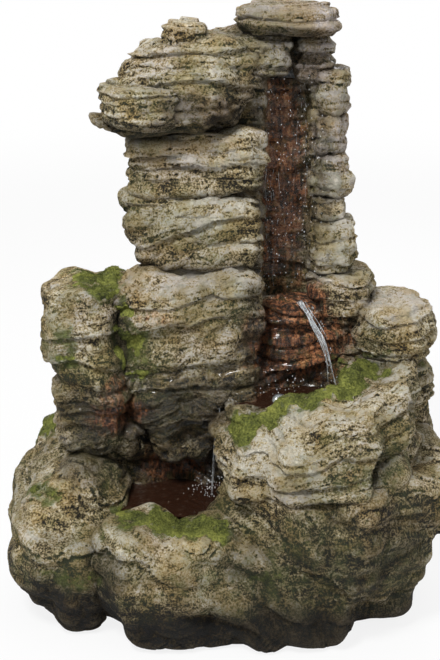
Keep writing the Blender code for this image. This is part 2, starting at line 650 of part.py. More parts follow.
def pool_centre():
    return (POOL_LEFT + POOL_RIGHT) / 2, (POOL_FRONT + POOL_BACK) / 2


def gland_at():
    """The cable gland's place on the landing, below and beside the hatch."""
    return HATCH_WIDTH / 2 + LANDING_MARGIN / 2, HATCH_FACE, HATCH_SILL + 0.012


def make_core(rock):
    """The hollow shaft behind the stacked stones, with the channel, the header well and its spout hole."""
    core = solid("tower_core", stone_mesh(CORE_MASSES[0]), rock)
    join_fine(core, stone_mesh(CORE_MASSES[1]))
    cut_fine(core, *(stone_mesh(mass, SCRIBE_GAP) for mass in BASE_MASSES))
    channel_back = CORE_FRONT + CHANNEL_DEPTH
    inner_back = CORE_BACK - 3.5 * WALL
    header_x = (HEAD_LEFT + 3 * WALL, CORE_RIGHT - 3 * WALL)
    cut_fine(core,
             block((CHANNEL_LEFT, CHANNEL_RIGHT), (CORE_FRONT - 0.05, channel_back),
                   (SPILL_TOP - 0.06, HEAD_TOP + 0.05), 0.004),
             hollow((CORE_LEFT + 3.5 * WALL, CORE_RIGHT - 3.5 * WALL), (channel_back + WALL, inner_back),
                    (SHELF_TOP - 0.05, CORE_TOP - 3 * WALL), square=5.0),
             hollow(header_x, (WELL_FRONT, inner_back), (CORE_TOP - 8 * WALL, WELL_FLOOR - WALL),
                    square=5.0),
             hollow(header_x, (WELL_FRONT, inner_back), (WELL_FLOOR, HEAD_TOP + 0.05), foot=(0.94, 0.94),
                    crown=(1.0, 1.0), square=4.0),
             block((CHANNEL_LEFT + 0.004, CHANNEL_RIGHT - 0.004), (channel_back - 0.01, WELL_FRONT + 0.02),
                   (CHANNEL_SILL, HEAD_TOP + 0.05), 0.003),
             place(rod(BARB_RADIUS + 0.0032, WELL_FLOOR - 2 * WALL, WELL_FLOOR + WALL, 20),
                   (SPOUT_X, SPOUT_Y, 0)))
    return drop_offcuts(core)


def pier_stones():
    """The stones of the pier to the right of the channel, laid from the top course down."""
    courses = {}
    top = PIER_TOP
    for course, (height, width) in enumerate(zip(PIER_COURSES, PIER_WIDTHS), 1):
        out = 0.004 if course % 2 else -0.004
        courses[f"pier_stone_{course}"] = Stone(
            (PIER_LEFT, PIER_LEFT + width), (PIER_FRONT - out, PIER_BACK), (top - height, top + 0.006),
            1 + course % 2, 196 + course, foot=(0.90, 0.93), crown=(0.94, 0.90), dip=(0.04, 0.0),
            square=4.0, sides=SMALL_STONE_SIDES, faced=True)
        top -= height
    return courses


def make_stones(rock, rust_rock):
    """Every stone outside the base and the core, each scribed to those that are laid before it."""
    laid = list(BASE_MASSES) + list(CORE_MASSES)
    finishes = {"splash_wall": rust_rock, "spill_ledge": rust_rock}
    stones = []
    groups = (COLUMN, {"upper_basin_rock": BASIN}, SPILL, pier_stones(), FLANKS, HEAD_STONES)
    for group in groups:
        for name, stone in group.items():
            clearances = basin_cuts() if stone is BASIN else [header_space()] if group is HEAD_STONES else []
            stones.append(scribed(name, stone, laid, finishes.get(name, rock), clearances))
            laid.append(stone)
    return stones


def basin_cuts():
    """The bowl of the upper pool and the notch at its left through which it runs over."""
    spill_front = (BASIN_POOL_FRONT + BASIN_POOL_BACK) / 2 - BASIN_SPILL_WIDTH
    return [
        hollow((BASIN_POOL_LEFT, BASIN_POOL_RIGHT), (BASIN_POOL_FRONT, BASIN_POOL_BACK),
               (BASIN_POOL_FLOOR, BASIN_TOP + 0.03), foot=(0.74, 0.74), crown=(1.0, 1.0), square=2.4,
               sides=16),
        block((BASIN_LEFT - 0.02, BASIN_POOL_LEFT + 0.06), (spill_front, spill_front + BASIN_SPILL_WIDTH),
              (BASIN_SPILL_LEVEL, BASIN_TOP + 0.02), 0.008)]


def header_space():
    """The space over the spout's well and the head of the channel, which the stones there keep out of."""
    return block((HEAD_LEFT + 4 * WALL, CORE_RIGHT - 5 * WALL),
                 (CORE_FRONT + CHANNEL_DEPTH - 0.012, CORE_BACK - 4 * WALL),
                 (CHANNEL_SILL - 0.05, SLAB_BOTTOM - 0.016), 0.006)


def make_tub(plastic, rubber, steel):
    """The water tub on the base plate, its drain bung, and the grate over the pool's return."""
    floor, top = BASE_FOOT, BASE_FOOT + TUB_HEIGHT
    centre = (0.0, TUB_BACK - TUB_DEPTH / 2)
    draft = 2 * TUB_DRAFT

    def ring(inset, height, drafted=True):
        narrow = 2 * inset + (draft if drafted else 0)
        return rounded(TUB_WIDTH - narrow, TUB_DEPTH - narrow, TUB_CORNER - inset, height, 3, centre)

    tub = solid("reservoir_tub", loft([
        ring(0.006, floor), ring(0.0, floor + 0.006), ring(0.0, top - TUB_WALL, False),
        ring(-TUB_RIM, top - TUB_WALL, False), ring(-TUB_RIM, top, False), ring(TUB_WALL, top, False),
        ring(TUB_WALL, floor + 0.008), ring(0.010, floor + TUB_WALL)]), plastic)
    wall_y = TUB_BACK - TUB_DRAFT * (1 - BUNG_HEIGHT / TUB_HEIGHT)
    at = (HATCH_WIDTH / 2 - HATCH_LAP - 0.030, wall_y, floor + BUNG_HEIGHT)
    neck = 0.62 * BUNG_RADIUS
    cut(tub, place(rod(neck + SEAT_GAP + 0.0006, -0.02, 0.02, 16), at, -math.pi / 2, "X"))
    bung = solid("drain_bung", place(turned([
        (0, -0.009), (neck, -0.009), (neck, 0.0012), (BUNG_RADIUS, 0.0018), (BUNG_RADIUS, 0.0060),
        (0.45 * BUNG_RADIUS, 0.0070), (0.45 * BUNG_RADIUS, 0.0110), (0, 0.0115)], 12), at,
        -math.pi / 2, "X"), rubber)
    shade_round(bung)
    carry(pivot("drain_bung_slide", at), bung)
    grate = solid("return_grate", place(turned([
        (0, 0), (GRATE_RADIUS, 0), (GRATE_RADIUS, GRATE_THICKNESS * 0.6),
        (GRATE_RADIUS - 0.002, GRATE_THICKNESS), (0, GRATE_THICKNESS)], 18),
        (*pool_centre(), POOL_FLOOR + SEAT_GAP)), steel)
    slots = []
    for row in (-2, -1, 0, 1, 2):
        half = 0.72 * math.sqrt(RETURN_RADIUS ** 2 - (row * 0.0085) ** 2)
        x, y = pool_centre()
        slots.append(block((x - half, x + half), (y + row * 0.0085 - 0.0022, y + row * 0.0085 + 0.0022),
                           (POOL_FLOOR - 0.01, POOL_FLOOR + 0.02), 0.0))
    return [tub, bung, cut(grate, *slots)]


def make_pump(housing, cover, rotor, ceramic, rubber, foam):
    """The submersible pump, lying along +X on its suction feet, motor to the right of its joint face."""
    axis = (PUMP_X, PUMP_Y, PUMP_Z)
    well = ROTOR_RADIUS + ROTOR_CLEARANCE
    well_depth = ROTOR_LENGTH + 0.003
    sections = ((0.0, 0.0), (MOTOR_LENGTH - 0.010, 0.0), (MOTOR_LENGTH - 0.003, 0.004),
                (MOTOR_LENGTH, 0.010))
    motor = solid("pump_motor", along_x(loft([
        rounded(MOTOR_HEIGHT - 2 * inset, MOTOR_WIDTH - 2 * inset, MOTOR_CORNER - inset, height)
        for height, inset in sections]), axis), housing)
    join(motor, along_x(rod(0.007, MOTOR_LENGTH - 0.004, MOTOR_LENGTH + 0.008), axis))
    bush_seat = (well_depth - 0.002, well_depth + BUSH_LENGTH + SEAT_GAP)
    cut(motor, along_x(rod(well, -0.01, well_depth, 16), axis),
        along_x(rod(BUSH_RADIUS + SEAT_GAP, *bush_seat, 12), axis),
        along_x(rod(0.0035, MOTOR_LENGTH + 0.002, MOTOR_LENGTH + 0.02, 12), axis))
    face = -SEAT_GAP
    front = face - VOLUTE_LENGTH
    outlet_y = 0.6 * IMPELLER_RADIUS
    outlet_x = face - OUTLET_RADIUS - SEAT_GAP
    volute = solid("pump_volute", along_x(turned([
        (EYE_RADIUS, front), (VOLUTE_RADIUS - 0.002, front), (VOLUTE_RADIUS, front + 0.002),
        (VOLUTE_RADIUS, face), (VOLUTE_RADIUS - VOLUTE_WALL, face),
        (VOLUTE_RADIUS - VOLUTE_WALL, front + VOLUTE_WALL), (EYE_RADIUS, front + VOLUTE_WALL)], 16), axis),
        cover)
    outlet_top = PUMP_Z + VOLUTE_RADIUS + OUTLET_RISE
    outlet_at = (PUMP_X + outlet_x, PUMP_Y + outlet_y, 0)
    join_fine(volute, place(rod(OUTLET_RADIUS, PUMP_Z + 0.012, outlet_top, 14), outlet_at))
    cut_fine(volute, place(rod(OUTLET_RADIUS - OUTLET_WALL, PUMP_Z, outlet_top + 0.01, 14), outlet_at),
             along_x(rod(VOLUTE_RADIUS - VOLUTE_WALL, front + VOLUTE_WALL, face + 0.01, 16), axis))
    hub_bore = BUSH_RADIUS + SEAT_GAP
    hub_back = front + VOLUTE_WALL + 0.0005
    hub = turned([(hub_bore, front), (hub_bore + 0.0014, front), (hub_bore + 0.0014, hub_back),
                  (hub_bore, hub_back)], 10)
    join_fine(volute, along_x(hub, axis))
    for arm in range(3):
        spoke = block((hub_bore + 0.0007, EYE_RADIUS + 0.001), (-0.0008, 0.0008),
                      (front + 0.0005, front + VOLUTE_WALL - 0.0005))
        join_fine(volute, along_x(place(spoke, turn=math.tau * arm / 3), axis))
    bush = [(SHAFT_RADIUS + SEAT_GAP, 0), (BUSH_RADIUS, 0), (BUSH_RADIUS, BUSH_LENGTH),
            (SHAFT_RADIUS + SEAT_GAP, BUSH_LENGTH)]
    bushes = [solid("shaft_bush_front", along_x(turned([(r, h + front) for r, h in bush], 12), axis), rubber),
              solid("shaft_bush_rear", along_x(turned([(r, h + well_depth) for r, h in bush], 12), axis),
                    rubber)]
    shaft = solid("impeller_shaft", along_x(rod(SHAFT_RADIUS, front, well_depth + BUSH_LENGTH, 12), axis),
                  ceramic)
    disc = -0.0015
    bore = SHAFT_RADIUS + SEAT_GAP
    impeller = solid("impeller", along_x(turned([
        (bore, disc - BLADE_HEIGHT), (0.0055, disc - BLADE_HEIGHT), (0.0065, disc - 0.0015),
        (IMPELLER_RADIUS, disc - 0.0015), (IMPELLER_RADIUS, disc), (ROTOR_RADIUS, disc),
        (ROTOR_RADIUS, ROTOR_LENGTH), (bore, ROTOR_LENGTH)], 16), axis), rotor)
    for blade in range(BLADE_COUNT):
        points = [(0.0050, 0.0), (0.0110, 0.0028), (0.0165, 0.0080), (IMPELLER_RADIUS - 0.0035, 0.0125)]
        outline = [(x, y - 0.0007) for x, y in points] + [(x, y + 0.0007) for x, y in reversed(points)]
        vane = loft([[(x, y, height) for x, y in outline]
                     for height in (disc - BLADE_HEIGHT + SEAT_GAP, disc - 0.0008)])
        join(impeller, along_x(place(vane, turn=math.tau * blade / BLADE_COUNT), axis))
    carry(pivot("impeller_axis", axis), impeller)
    cage_back = front - SEAT_GAP
    cage_front = cage_back - CAGE_LENGTH
    cage = solid("strainer_cage", along_x(turned([
        (DIAL_STEM_RADIUS + SEAT_GAP, cage_front), (VOLUTE_RADIUS - 0.005, cage_front),
        (VOLUTE_RADIUS, cage_front + 0.005), (VOLUTE_RADIUS, cage_back),
        (VOLUTE_RADIUS - CAGE_WALL, cage_back), (VOLUTE_RADIUS - CAGE_WALL, cage_front + 0.0055),
        (VOLUTE_RADIUS - 0.0055, cage_front + CAGE_WALL), (DIAL_STEM_RADIUS + SEAT_GAP, cage_front + CAGE_WALL)],
        16), axis), cover)
    cut(cage, *(along_x(place(block((VOLUTE_RADIUS - 0.010, VOLUTE_RADIUS + 0.01), (-0.0016, 0.0016),
                                    (cage_front + 0.008, cage_back - 0.005)),
                              turn=math.tau * (slot + 0.5) / CAGE_SLOTS), axis) for slot in range(CAGE_SLOTS)))
    filter_foam = solid("filter_foam", along_x(turned([
        (0.013, cage_front + 0.0062), (VOLUTE_RADIUS - CAGE_WALL - SEAT_GAP, cage_front + 0.0062),
        (VOLUTE_RADIUS - CAGE_WALL - SEAT_GAP, cage_back - SEAT_GAP), (0.013, cage_back - SEAT_GAP)], 16),
        axis), foam)
    dial_face = cage_front - SEAT_GAP
    knurl = []
    for height in (dial_face - DIAL_THICKNESS, dial_face):
        loop = []
        for k in range(DIAL_LOBES):
            radius = DIAL_RADIUS - (0.0012 if k % 2 else 0.0)
            turn = math.tau * k / DIAL_LOBES
            loop.append((radius * math.cos(turn), radius * math.sin(turn), height))
        knurl.append(loop)
    dial = solid("flow_dial", along_x(loft(knurl), axis), cover)
    join(dial, along_x(rod(DIAL_STEM_RADIUS, dial_face - 0.001, cage_front + 0.010, 12), axis),
         along_x(rod(0.0085, cage_front + CAGE_WALL + SEAT_GAP, cage_front + 0.0055, 12), axis),
         along_x(block((0.004, DIAL_RADIUS - 0.002), (-0.0008, 0.0008),
                       (dial_face - DIAL_THICKNESS - 0.0012, dial_face - DIAL_THICKNESS + 0.001)), axis))
    carry(pivot("flow_dial_axis", axis), dial)
    feet = []
    underside = PUMP_Z - MOTOR_HEIGHT / 2 - SEAT_GAP
    low = TUB_FLOOR + SEAT_GAP
    for name, x in (("pump_foot_left", 0.012), ("pump_foot_right", MOTOR_LENGTH - 0.020)):
        at = (PUMP_X + x, PUMP_Y)
        half = MOTOR_WIDTH / 2 - MOTOR_CORNER
        feet.append(solid(name, loft([
            rounded(2 * FOOT_RADIUS, 2 * half, 0.9 * FOOT_RADIUS, low, 3, at),
            rounded(1.4 * FOOT_RADIUS, 2 * half - 0.004, 0.65 * FOOT_RADIUS, low + 0.003, 3, at),
            rounded(1.4 * FOOT_RADIUS, 2 * half - 0.004, 0.65 * FOOT_RADIUS, underside, 3, at)]), rubber))
    pieces = [motor, volute, *bushes, shaft, impeller, cage, filter_foam, dial, *feet]
    for piece in pieces:
        shade_round(piece)
    return pieces, Vector((outlet_at[0], outlet_at[1], outlet_top))


def tube(points, outer, inner, sides=10):
    """A tube with an open bore along a row of points."""
    path = [Vector(point) for point in points]
    loops = {outer: [], inner: []}
    side = Vector((1, 0, 0))
    for k, point in enumerate(path):
        ahead = (path[min(k + 1, len(path) - 1)] - path[max(k - 1, 0)]).normalized()
        side = (side - ahead * side.dot(ahead)).normalized()
        up = ahead.cross(side)
        for radius, rows in loops.items():
            rows.append([tuple(point + (side * math.cos(t) + up * math.sin(t)) * radius)
                         for t in (math.tau * n / sides for n in range(sides))])
    return loft(loops[outer] + loops[inner][::-1], closed_ring=True)


def barbed(radius, bore, low, length, barbs=3):
    """The half profile of a hose barb that points up, outside first and bore last."""
    pitch = length / barbs
    outside = []
    for k in range(barbs):
        outside += [(radius, low + k * pitch), (radius - 0.0011, low + (k + 0.92) * pitch)]
    return outside + [(bore, low + length)]


def make_riser(outlet, plastic, rubber, steel):
    """The barbed nipple on the pump, the hose up the hollow core, its clips, and the spout in the well."""
    collar = OUTLET_RADIUS + SEAT_GAP
    bore = OUTLET_RADIUS - OUTLET_WALL - 0.001
    top = outlet + Vector((0, 0, SEAT_GAP))
    profile = [(collar, -0.010), (collar + 0.0022, -0.010), (collar + 0.0022, 0.004), (BARB_RADIUS - 0.001, 0.004),
               (BARB_RADIUS - 0.001, 0.006), *barbed(BARB_RADIUS, bore, 0.006, BARB_LENGTH), (bore, 0),
               (collar, 0)]
    nipple = solid("outlet_nipple", place(turned(profile, 14), top), plastic)
    under = WELL_FLOOR - WALL
    nut_height = 0.007
    tail = under - nut_height - 0.008
    end = Vector((SPOUT_X, SPOUT_Y, tail - 0.001))
    start = top + Vector((0, 0, 0.0065))
    run = []
    steps = 10
    for k in range(steps + 1):
        share = k / steps
        ease = share * share * (3 - 2 * share)
        bend = min(1.0, max(0.0, (share - 0.06) / 0.60))
        bend = bend * bend * (3 - 2 * bend)
        run.append((start.x + (end.x - start.x) * bend, start.y + (end.y - start.y) * bend,
                    start.z + (end.z - start.z) * (0.35 * ease + 0.65 * share)))
    hose = solid("riser_hose", tube(run, HOSE_RADIUS, HOSE_BORE), rubber)
    clips = []
    for name, height, x, y in (("hose_clip_lower", start.z + 0.008, start.x, start.y),
                               ("hose_clip_upper", end.z - 0.012, end.x, end.y)):
        ring = HOSE_RADIUS + 0.0006
        clip = solid(name, place(turned([(ring, -CLIP_WIDTH / 2), (ring + 0.0012, -CLIP_WIDTH / 2),
                                         (ring + 0.0012, CLIP_WIDTH / 2), (ring, CLIP_WIDTH / 2)], 14),
                                 (x, y, height)), steel)
        clips.append(join(clip, place(block((ring + 0.0004, ring + 0.0072), (-0.0045, 0.0045),
                                            (-CLIP_WIDTH / 2 + 0.0004, CLIP_WIDTH / 2 - 0.0004)),
                                      (x, y, height))))
    neck = BARB_RADIUS + 0.0026
    flange = WELL_FLOOR + SEAT_GAP
    spout = solid("header_spout", place(turned([
        (bore, tail - BARB_LENGTH), (BARB_RADIUS - 0.0011, tail - BARB_LENGTH),
        (BARB_RADIUS, tail - 0.68 * BARB_LENGTH), (BARB_RADIUS - 0.0011, tail - 0.64 * BARB_LENGTH),
        (BARB_RADIUS, tail - 0.34 * BARB_LENGTH), (BARB_RADIUS - 0.0011, tail - 0.30 * BARB_LENGTH),
        (BARB_RADIUS, tail), (neck, tail), (neck, flange), (SPOUT_FLANGE, flange),
        (SPOUT_FLANGE, flange + 0.003), (neck, flange + 0.004), (neck - 0.001, flange + 0.014),
        (neck + 0.005, flange + SPOUT_RISE), (neck + 0.0035, flange + SPOUT_RISE),
        (bore, flange + 0.014)], 14), (SPOUT_X, SPOUT_Y, 0)), plastic)
    nut_at = (SPOUT_X, SPOUT_Y, under - SEAT_GAP - nut_height)
    nut = solid("header_nut", place(loft([circle(0.019, 0, 6), circle(0.019, nut_height, 6)]), nut_at), plastic)
    cut(nut, place(rod(neck + SEAT_GAP, -0.01, 0.02, 20), nut_at))
    pieces = [nipple, hose, *clips, spout]
    for piece in pieces:
        shade_round(piece)
    return [*pieces, nut]


def make_hatch(plastic, steel, rubber):
    """The rear hatch on its hinge, the turn button that holds it, and the cable gland beside it."""
    left = -HATCH_WIDTH / 2
    top = HATCH_SILL + HATCH_HEIGHT
    back = HATCH_FACE + SEAT_GAP
    face = back + HATCH_THICKNESS
    door = solid("hatch_door", block((left, -left), (back, face), (HATCH_SILL, top), 0.0022), plastic)
    join(door, *(block((left + 0.030, -left - 0.030), (face - 0.001, face + 0.0025), (z - 0.004, z + 0.004),
                       0.0015) for z in (HATCH_SILL + 0.3 * HATCH_HEIGHT, HATCH_SILL + 0.7 * HATCH_HEIGHT)))
    axis = Vector((left - BARREL_RADIUS - 0.0006, face + 0.0032, HATCH_SILL + HATCH_HEIGHT / 2))
    low = axis.z - HINGE_LENGTH / 2
    knuckle = HINGE_LENGTH / 3
    fit_gap = 0.0004

    def barrel(first):
        return place(rod(BARREL_RADIUS, low + first * knuckle + fit_gap, low + (first + 1) * knuckle - fit_gap),
                     (axis.x, axis.y, 0))

    pin_hole = place(rod(PIN_RADIUS + SEAT_GAP, low - 0.01, low + HINGE_LENGTH + 0.01, 12), (axis.x, axis.y, 0))
    frame_leaf = solid("hinge_leaf_frame", block(
        (axis.x - LEAF_WIDTH, axis.x - 0.001), (back, back + LEAF_THICKNESS), (low, low + HINGE_LENGTH)), steel)
    for k in (0, 2):
        span = (low + k * knuckle + fit_gap, low + (k + 1) * knuckle - fit_gap)
        join(frame_leaf, block((axis.x - 0.0035, axis.x), (back + 0.0005, axis.y), span), barrel(k))
    cut(frame_leaf, pin_hole.copy())
    leaf_back = face + SEAT_GAP
    door_leaf = solid("hinge_leaf_door", block(
        (left + 0.001, axis.x + LEAF_WIDTH), (leaf_back, leaf_back + LEAF_THICKNESS), (low, low + HINGE_LENGTH)),
        steel)
    join(door_leaf, block((axis.x + 0.001, left + 0.002), (leaf_back, leaf_back + LEAF_THICKNESS),
                          (low + knuckle + fit_gap, low + 2 * knuckle - fit_gap)), barrel(1))
    cut(door_leaf, pin_hole)
    pin = solid("hinge_pin", place(turned([
        (0, low - 0.001), (PIN_RADIUS, low - 0.001), (PIN_RADIUS, low + HINGE_LENGTH + SEAT_GAP),
        (2 * PIN_RADIUS, low + HINGE_LENGTH + SEAT_GAP), (2 * PIN_RADIUS, low + HINGE_LENGTH + 0.002),
        (0, low + HINGE_LENGTH + 0.0025)], 10), (axis.x, axis.y, 0)), steel)
    carry(pivot("hatch_axis", axis), door, door_leaf)
    screw_at = Vector((-left + 0.010, back, HATCH_SILL + HATCH_HEIGHT / 2))
    button_back = HATCH_THICKNESS + SEAT_GAP
    stem = 0.0025

    def outward(bm):
        return place(bm, screw_at, -math.pi / 2, "X")

    button = solid("turn_button", outward(loft([
        rounded(BUTTON_WIDTH, BUTTON_LENGTH, BUTTON_WIDTH / 2 - 0.0002, height)
        for height in (button_back, button_back + BUTTON_THICKNESS)])), plastic)
    join(button, outward(rod(0.0052, 0.0, button_back + 0.001, 16)))
    cut(button, outward(rod(stem + SEAT_GAP, -0.01, 0.02, 12)))
    head = button_back + BUTTON_THICKNESS + SEAT_GAP
    screw = solid("turn_button_screw", outward(turned([
        (0, 0), (stem, 0), (stem, head), (0.0045, head), (0.0042, head + 0.0012), (0.0025, head + 0.0022),
        (0, head + 0.0024)], 12)), steel)
    cut(screw, outward(block((-0.006, 0.006), (-0.0005, 0.0005), (head + 0.0014, head + 0.01))))
    carry(pivot("turn_button_axis", screw_at), button)
    gland = solid("cable_gland", place(turned([
        (0.0035, -0.012), (GLAND_RADIUS, -0.012), (GLAND_RADIUS, SEAT_GAP), (GLAND_RADIUS + 0.004, SEAT_GAP),
        (GLAND_RADIUS + 0.0035, 0.003), (0.0060, 0.006), (0.0052, 0.010), (0.0035, 0.010)], 12),
        gland_at(), -math.pi / 2, "X"), rubber)
    for piece in (pin, button, screw, gland):
        shade_round(piece)
    return [door, frame_leaf, door_leaf, pin, button, screw, gland]


def make_lamp(name, at, housing, glass, steel):
    """A submersible lamp on a small bracket, tilting on its two pivot bosses."""
    centre = Vector((at[0], at[1], at[2] + SEAT_GAP + LAMP_PIVOT_RISE))
    ribs = [(LAMP_RADIUS - (0.0015 if k % 2 else 0.0), -LAMP_LENGTH / 2 + 0.008 + 0.003 * k) for k in range(4)]
    shell = turned([(0, -LAMP_LENGTH / 2), (0.55 * LAMP_RADIUS, -LAMP_LENGTH / 2),
                    (LAMP_RADIUS - 0.002, -LAMP_LENGTH / 2 + 0.005), *ribs, (LAMP_RADIUS, LAMP_LENGTH / 2),
                    (LAMP_RADIUS - 0.002, LAMP_LENGTH / 2), (LAMP_RADIUS - 0.002, LAMP_LENGTH / 2 - 0.004),
                    (0, LAMP_LENGTH / 2 - 0.004)], 12)
    facing = math.radians(-55)
    body = solid(f"{name}_body", place(shell, centre, -facing, "X"), housing)
    boss = LAMP_RADIUS + 0.0025
    join(body, along_x(rod(0.0030, -boss, boss, 10), centre))
    lens_radius = LAMP_RADIUS - 0.002 - SEAT_GAP
    lens_back = LAMP_LENGTH / 2 - 0.004 + SEAT_GAP
    lens = solid(f"{name}_lens", place(turned([
        (0, lens_back), (lens_radius, lens_back), (lens_radius, lens_back + 0.0030),
        (0.7 * lens_radius, lens_back + 0.0056), (0, lens_back + 0.0070)], 12), centre, -facing, "X"), glass)
    inner = LAMP_RADIUS + 0.0012
    arm_x = (inner, inner + BRACKET_THICKNESS)
    bracket = solid(f"{name}_bracket", place(turned([
        (0, 0), (LAMP_RADIUS + 0.005, 0), (LAMP_RADIUS + 0.005, 0.0025), (LAMP_RADIUS + 0.003, 0.0035),
        (0, 0.0035)], 12), (at[0], at[1], at[2] + SEAT_GAP)), steel)
    for side in (-1, 1):
        x = sorted((side * arm_x[0], side * arm_x[1]))
        arm = block((centre.x + x[0], centre.x + x[1]), (centre.y - 0.005, centre.y + 0.005),
                    (at[2] + 0.001, centre.z + 0.006))
        join(bracket, arm)
    cut(bracket, along_x(rod(0.0030 + SEAT_GAP, -0.05, 0.05, 10), centre))
    carry(pivot(f"{name}_axis", centre), body, lens)
    for piece in (body, lens):
        shade_round(piece)
    return [body, lens, bracket]


def main():
    for obj in list(bpy.data.objects):
        bpy.data.objects.remove(obj, do_unlink=True)
    rock = finish("layered_rock", (0.32, 0.27, 0.20), 0.85)
    rust_rock = finish("rust_rock", (0.26, 0.09, 0.04), 0.40)
    black_plastic = finish("black_plastic", (0.025, 0.027, 0.030), 0.45)
    grey_plastic = finish("grey_plastic", (0.16, 0.17, 0.17), 0.50)
    rubber = finish("rubber", (0.03, 0.03, 0.03), 0.70)
    steel = finish("stainless_steel", (0.55, 0.55, 0.54), 0.30, 1.0)
    ceramic = finish("ceramic", (0.82, 0.81, 0.78), 0.25)
    foam = finish("filter_foam", (0.05, 0.07, 0.10), 0.95)
    glass = finish("lamp_glass", (0.75, 0.78, 0.80), 0.08)
    make_base(rock, grey_plastic)
    make_core(rock)
    make_stones(rock, rust_rock)
    top_slab = scribed("top_slab", SLAB, [COLUMN["cap_slab"], COLUMN["cap_pebble"]], rock)
    carry(pivot("top_slab_lift", (SPOUT_X, SPOUT_Y, SLAB_BOTTOM)), top_slab)
    make_tub(black_plastic, rubber, steel)
    pump, outlet = make_pump(black_plastic, grey_plastic, rubber, ceramic, rubber, foam)
    make_riser(outlet, black_plastic, rubber, steel)
    make_hatch(grey_plastic, steel, rubber)
    lower_lamp = (POOL_LEFT + 0.080, POOL_FRONT + 0.050, POOL_FLOOR)
    upper_lamp = (BASIN_POOL_LEFT + 0.065, BASIN_POOL_FRONT + 0.095, BASIN_POOL_FLOOR)
    make_lamp("lower_lamp", lower_lamp, black_plastic, glass, steel)
    make_lamp("upper_lamp", upper_lamp, black_plastic, glass, steel)


main()
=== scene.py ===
"""The looks of a stacked-stone garden waterfall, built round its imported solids.

Every stone of the stack is carved along its beds from the solid that carries it, then dressed with
dry, wet, rusty and mossy surfaces. Running water, the two pools and the moss are pieces of their own.
"""

import json
import logging
import math
from dataclasses import dataclass, field
from enum import Enum
from itertools import product

import bmesh
import bpy
import numpy as np
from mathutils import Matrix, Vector
from mathutils.bvhtree import BVHTree

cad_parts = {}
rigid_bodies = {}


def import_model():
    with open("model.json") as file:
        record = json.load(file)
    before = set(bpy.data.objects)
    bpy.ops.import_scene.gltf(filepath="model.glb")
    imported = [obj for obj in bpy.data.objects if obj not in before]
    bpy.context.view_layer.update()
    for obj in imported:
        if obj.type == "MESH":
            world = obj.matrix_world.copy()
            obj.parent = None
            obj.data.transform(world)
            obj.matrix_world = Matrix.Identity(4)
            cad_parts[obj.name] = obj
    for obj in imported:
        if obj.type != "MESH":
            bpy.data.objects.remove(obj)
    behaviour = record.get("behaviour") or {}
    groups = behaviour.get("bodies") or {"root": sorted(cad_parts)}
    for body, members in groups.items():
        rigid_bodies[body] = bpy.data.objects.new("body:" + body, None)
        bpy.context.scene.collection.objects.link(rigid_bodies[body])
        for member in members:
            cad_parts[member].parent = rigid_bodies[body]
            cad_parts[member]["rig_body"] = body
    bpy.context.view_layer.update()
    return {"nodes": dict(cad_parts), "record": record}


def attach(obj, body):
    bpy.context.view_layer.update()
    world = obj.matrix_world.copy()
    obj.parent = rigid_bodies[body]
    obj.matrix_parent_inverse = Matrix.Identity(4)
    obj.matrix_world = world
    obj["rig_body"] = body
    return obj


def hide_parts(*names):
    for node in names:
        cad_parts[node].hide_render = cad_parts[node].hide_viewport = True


log = logging.getLogger("waterfall")

Colour = tuple[float, float, float]
Point = tuple[float, float, float]
Socket = bpy.types.NodeSocket


def srgb(red: float, green: float, blue: float) -> Colour:
    """Turns a screen colour of 0 to 255 into the linear colour that the shaders use.

    Args:
        red: red part on the screen.
        green: green part on the screen.
        blue: blue part on the screen.

    Returns:
        The linear colour.
    """
    def linear(part: float) -> float:
        """One channel of the colour."""
        part /= 255.0
        return part / 12.92 if part <= 0.04045 else ((part + 0.055) / 1.055) ** 2.4
    return linear(red), linear(green), linear(blue)


# ---------------------------------------------------------------- noise and meshes


class Noise:
    """Smooth repeatable noise in space, from a table of lattice values of its own."""

    def __init__(self, seed: int) -> None:
        """Fills the table from the seed."""
        self.table = np.random.default_rng(seed).uniform(-1.0, 1.0, 4096)

    def value(self, points: np.ndarray) -> np.ndarray:
        """Noise of -1 to 1 at each point.

        Args:
            points: places as rows of x, y and z, where 1 is one cell.

        Returns:
            One number for each point.
        """
        cell = np.floor(points).astype(np.int64)
        part = points - cell
        part = part * part * (3.0 - 2.0 * part)
        total = np.zeros(len(points))
        for corner in product((0, 1), repeat=3):
            at = cell + corner
            slot = (at[:, 0] * 73856093 ^ at[:, 1] * 19349663 ^ at[:, 2] * 83492791) & 4095
            near = np.where(np.array(corner) == 1, part, 1.0 - part).prod(axis=1)
            total += near * self.table[slot]
        return total

    def layered(self, points: np.ndarray, layers: int = 3) -> np.ndarray:
        """Several sizes of noise on each other, each half as strong as the one before.

        Args:
            points: places as rows of x, y and z.
            layers: how many sizes.

        Returns:
            One number for each point, of about -1 to 1.
        """
        total = np.zeros(len(points))
        for step in range(layers):
            total += self.value(points * 2.03 ** step + 11.7 * step) * 0.55 ** step
        return total


def smooth_step(value: np.ndarray, low: float, high: float) -> np.ndarray:
    """Rises smoothly from 0 at low to 1 at high."""
    part = np.clip((value - low) / (high - low), 0.0, 1.0)
    return part * part * (3.0 - 2.0 * part)


def mesh_points(mesh: bpy.types.Mesh, what: str = "co") -> np.ndarray:
    """Reads each vertex's place, or its normal where what says so, as rows of x, y and z."""
    found = np.zeros(len(mesh.vertices) * 3, np.float32)
    mesh.vertices.foreach_get(what, found)
    return found.reshape(-1, 3).astype(float)


def set_points(mesh: bpy.types.Mesh, points: np.ndarray) -> None:
    """Moves the mesh's vertices to the given places."""
    mesh.vertices.foreach_set("co", points.astype(np.float32).ravel())
    mesh.update()


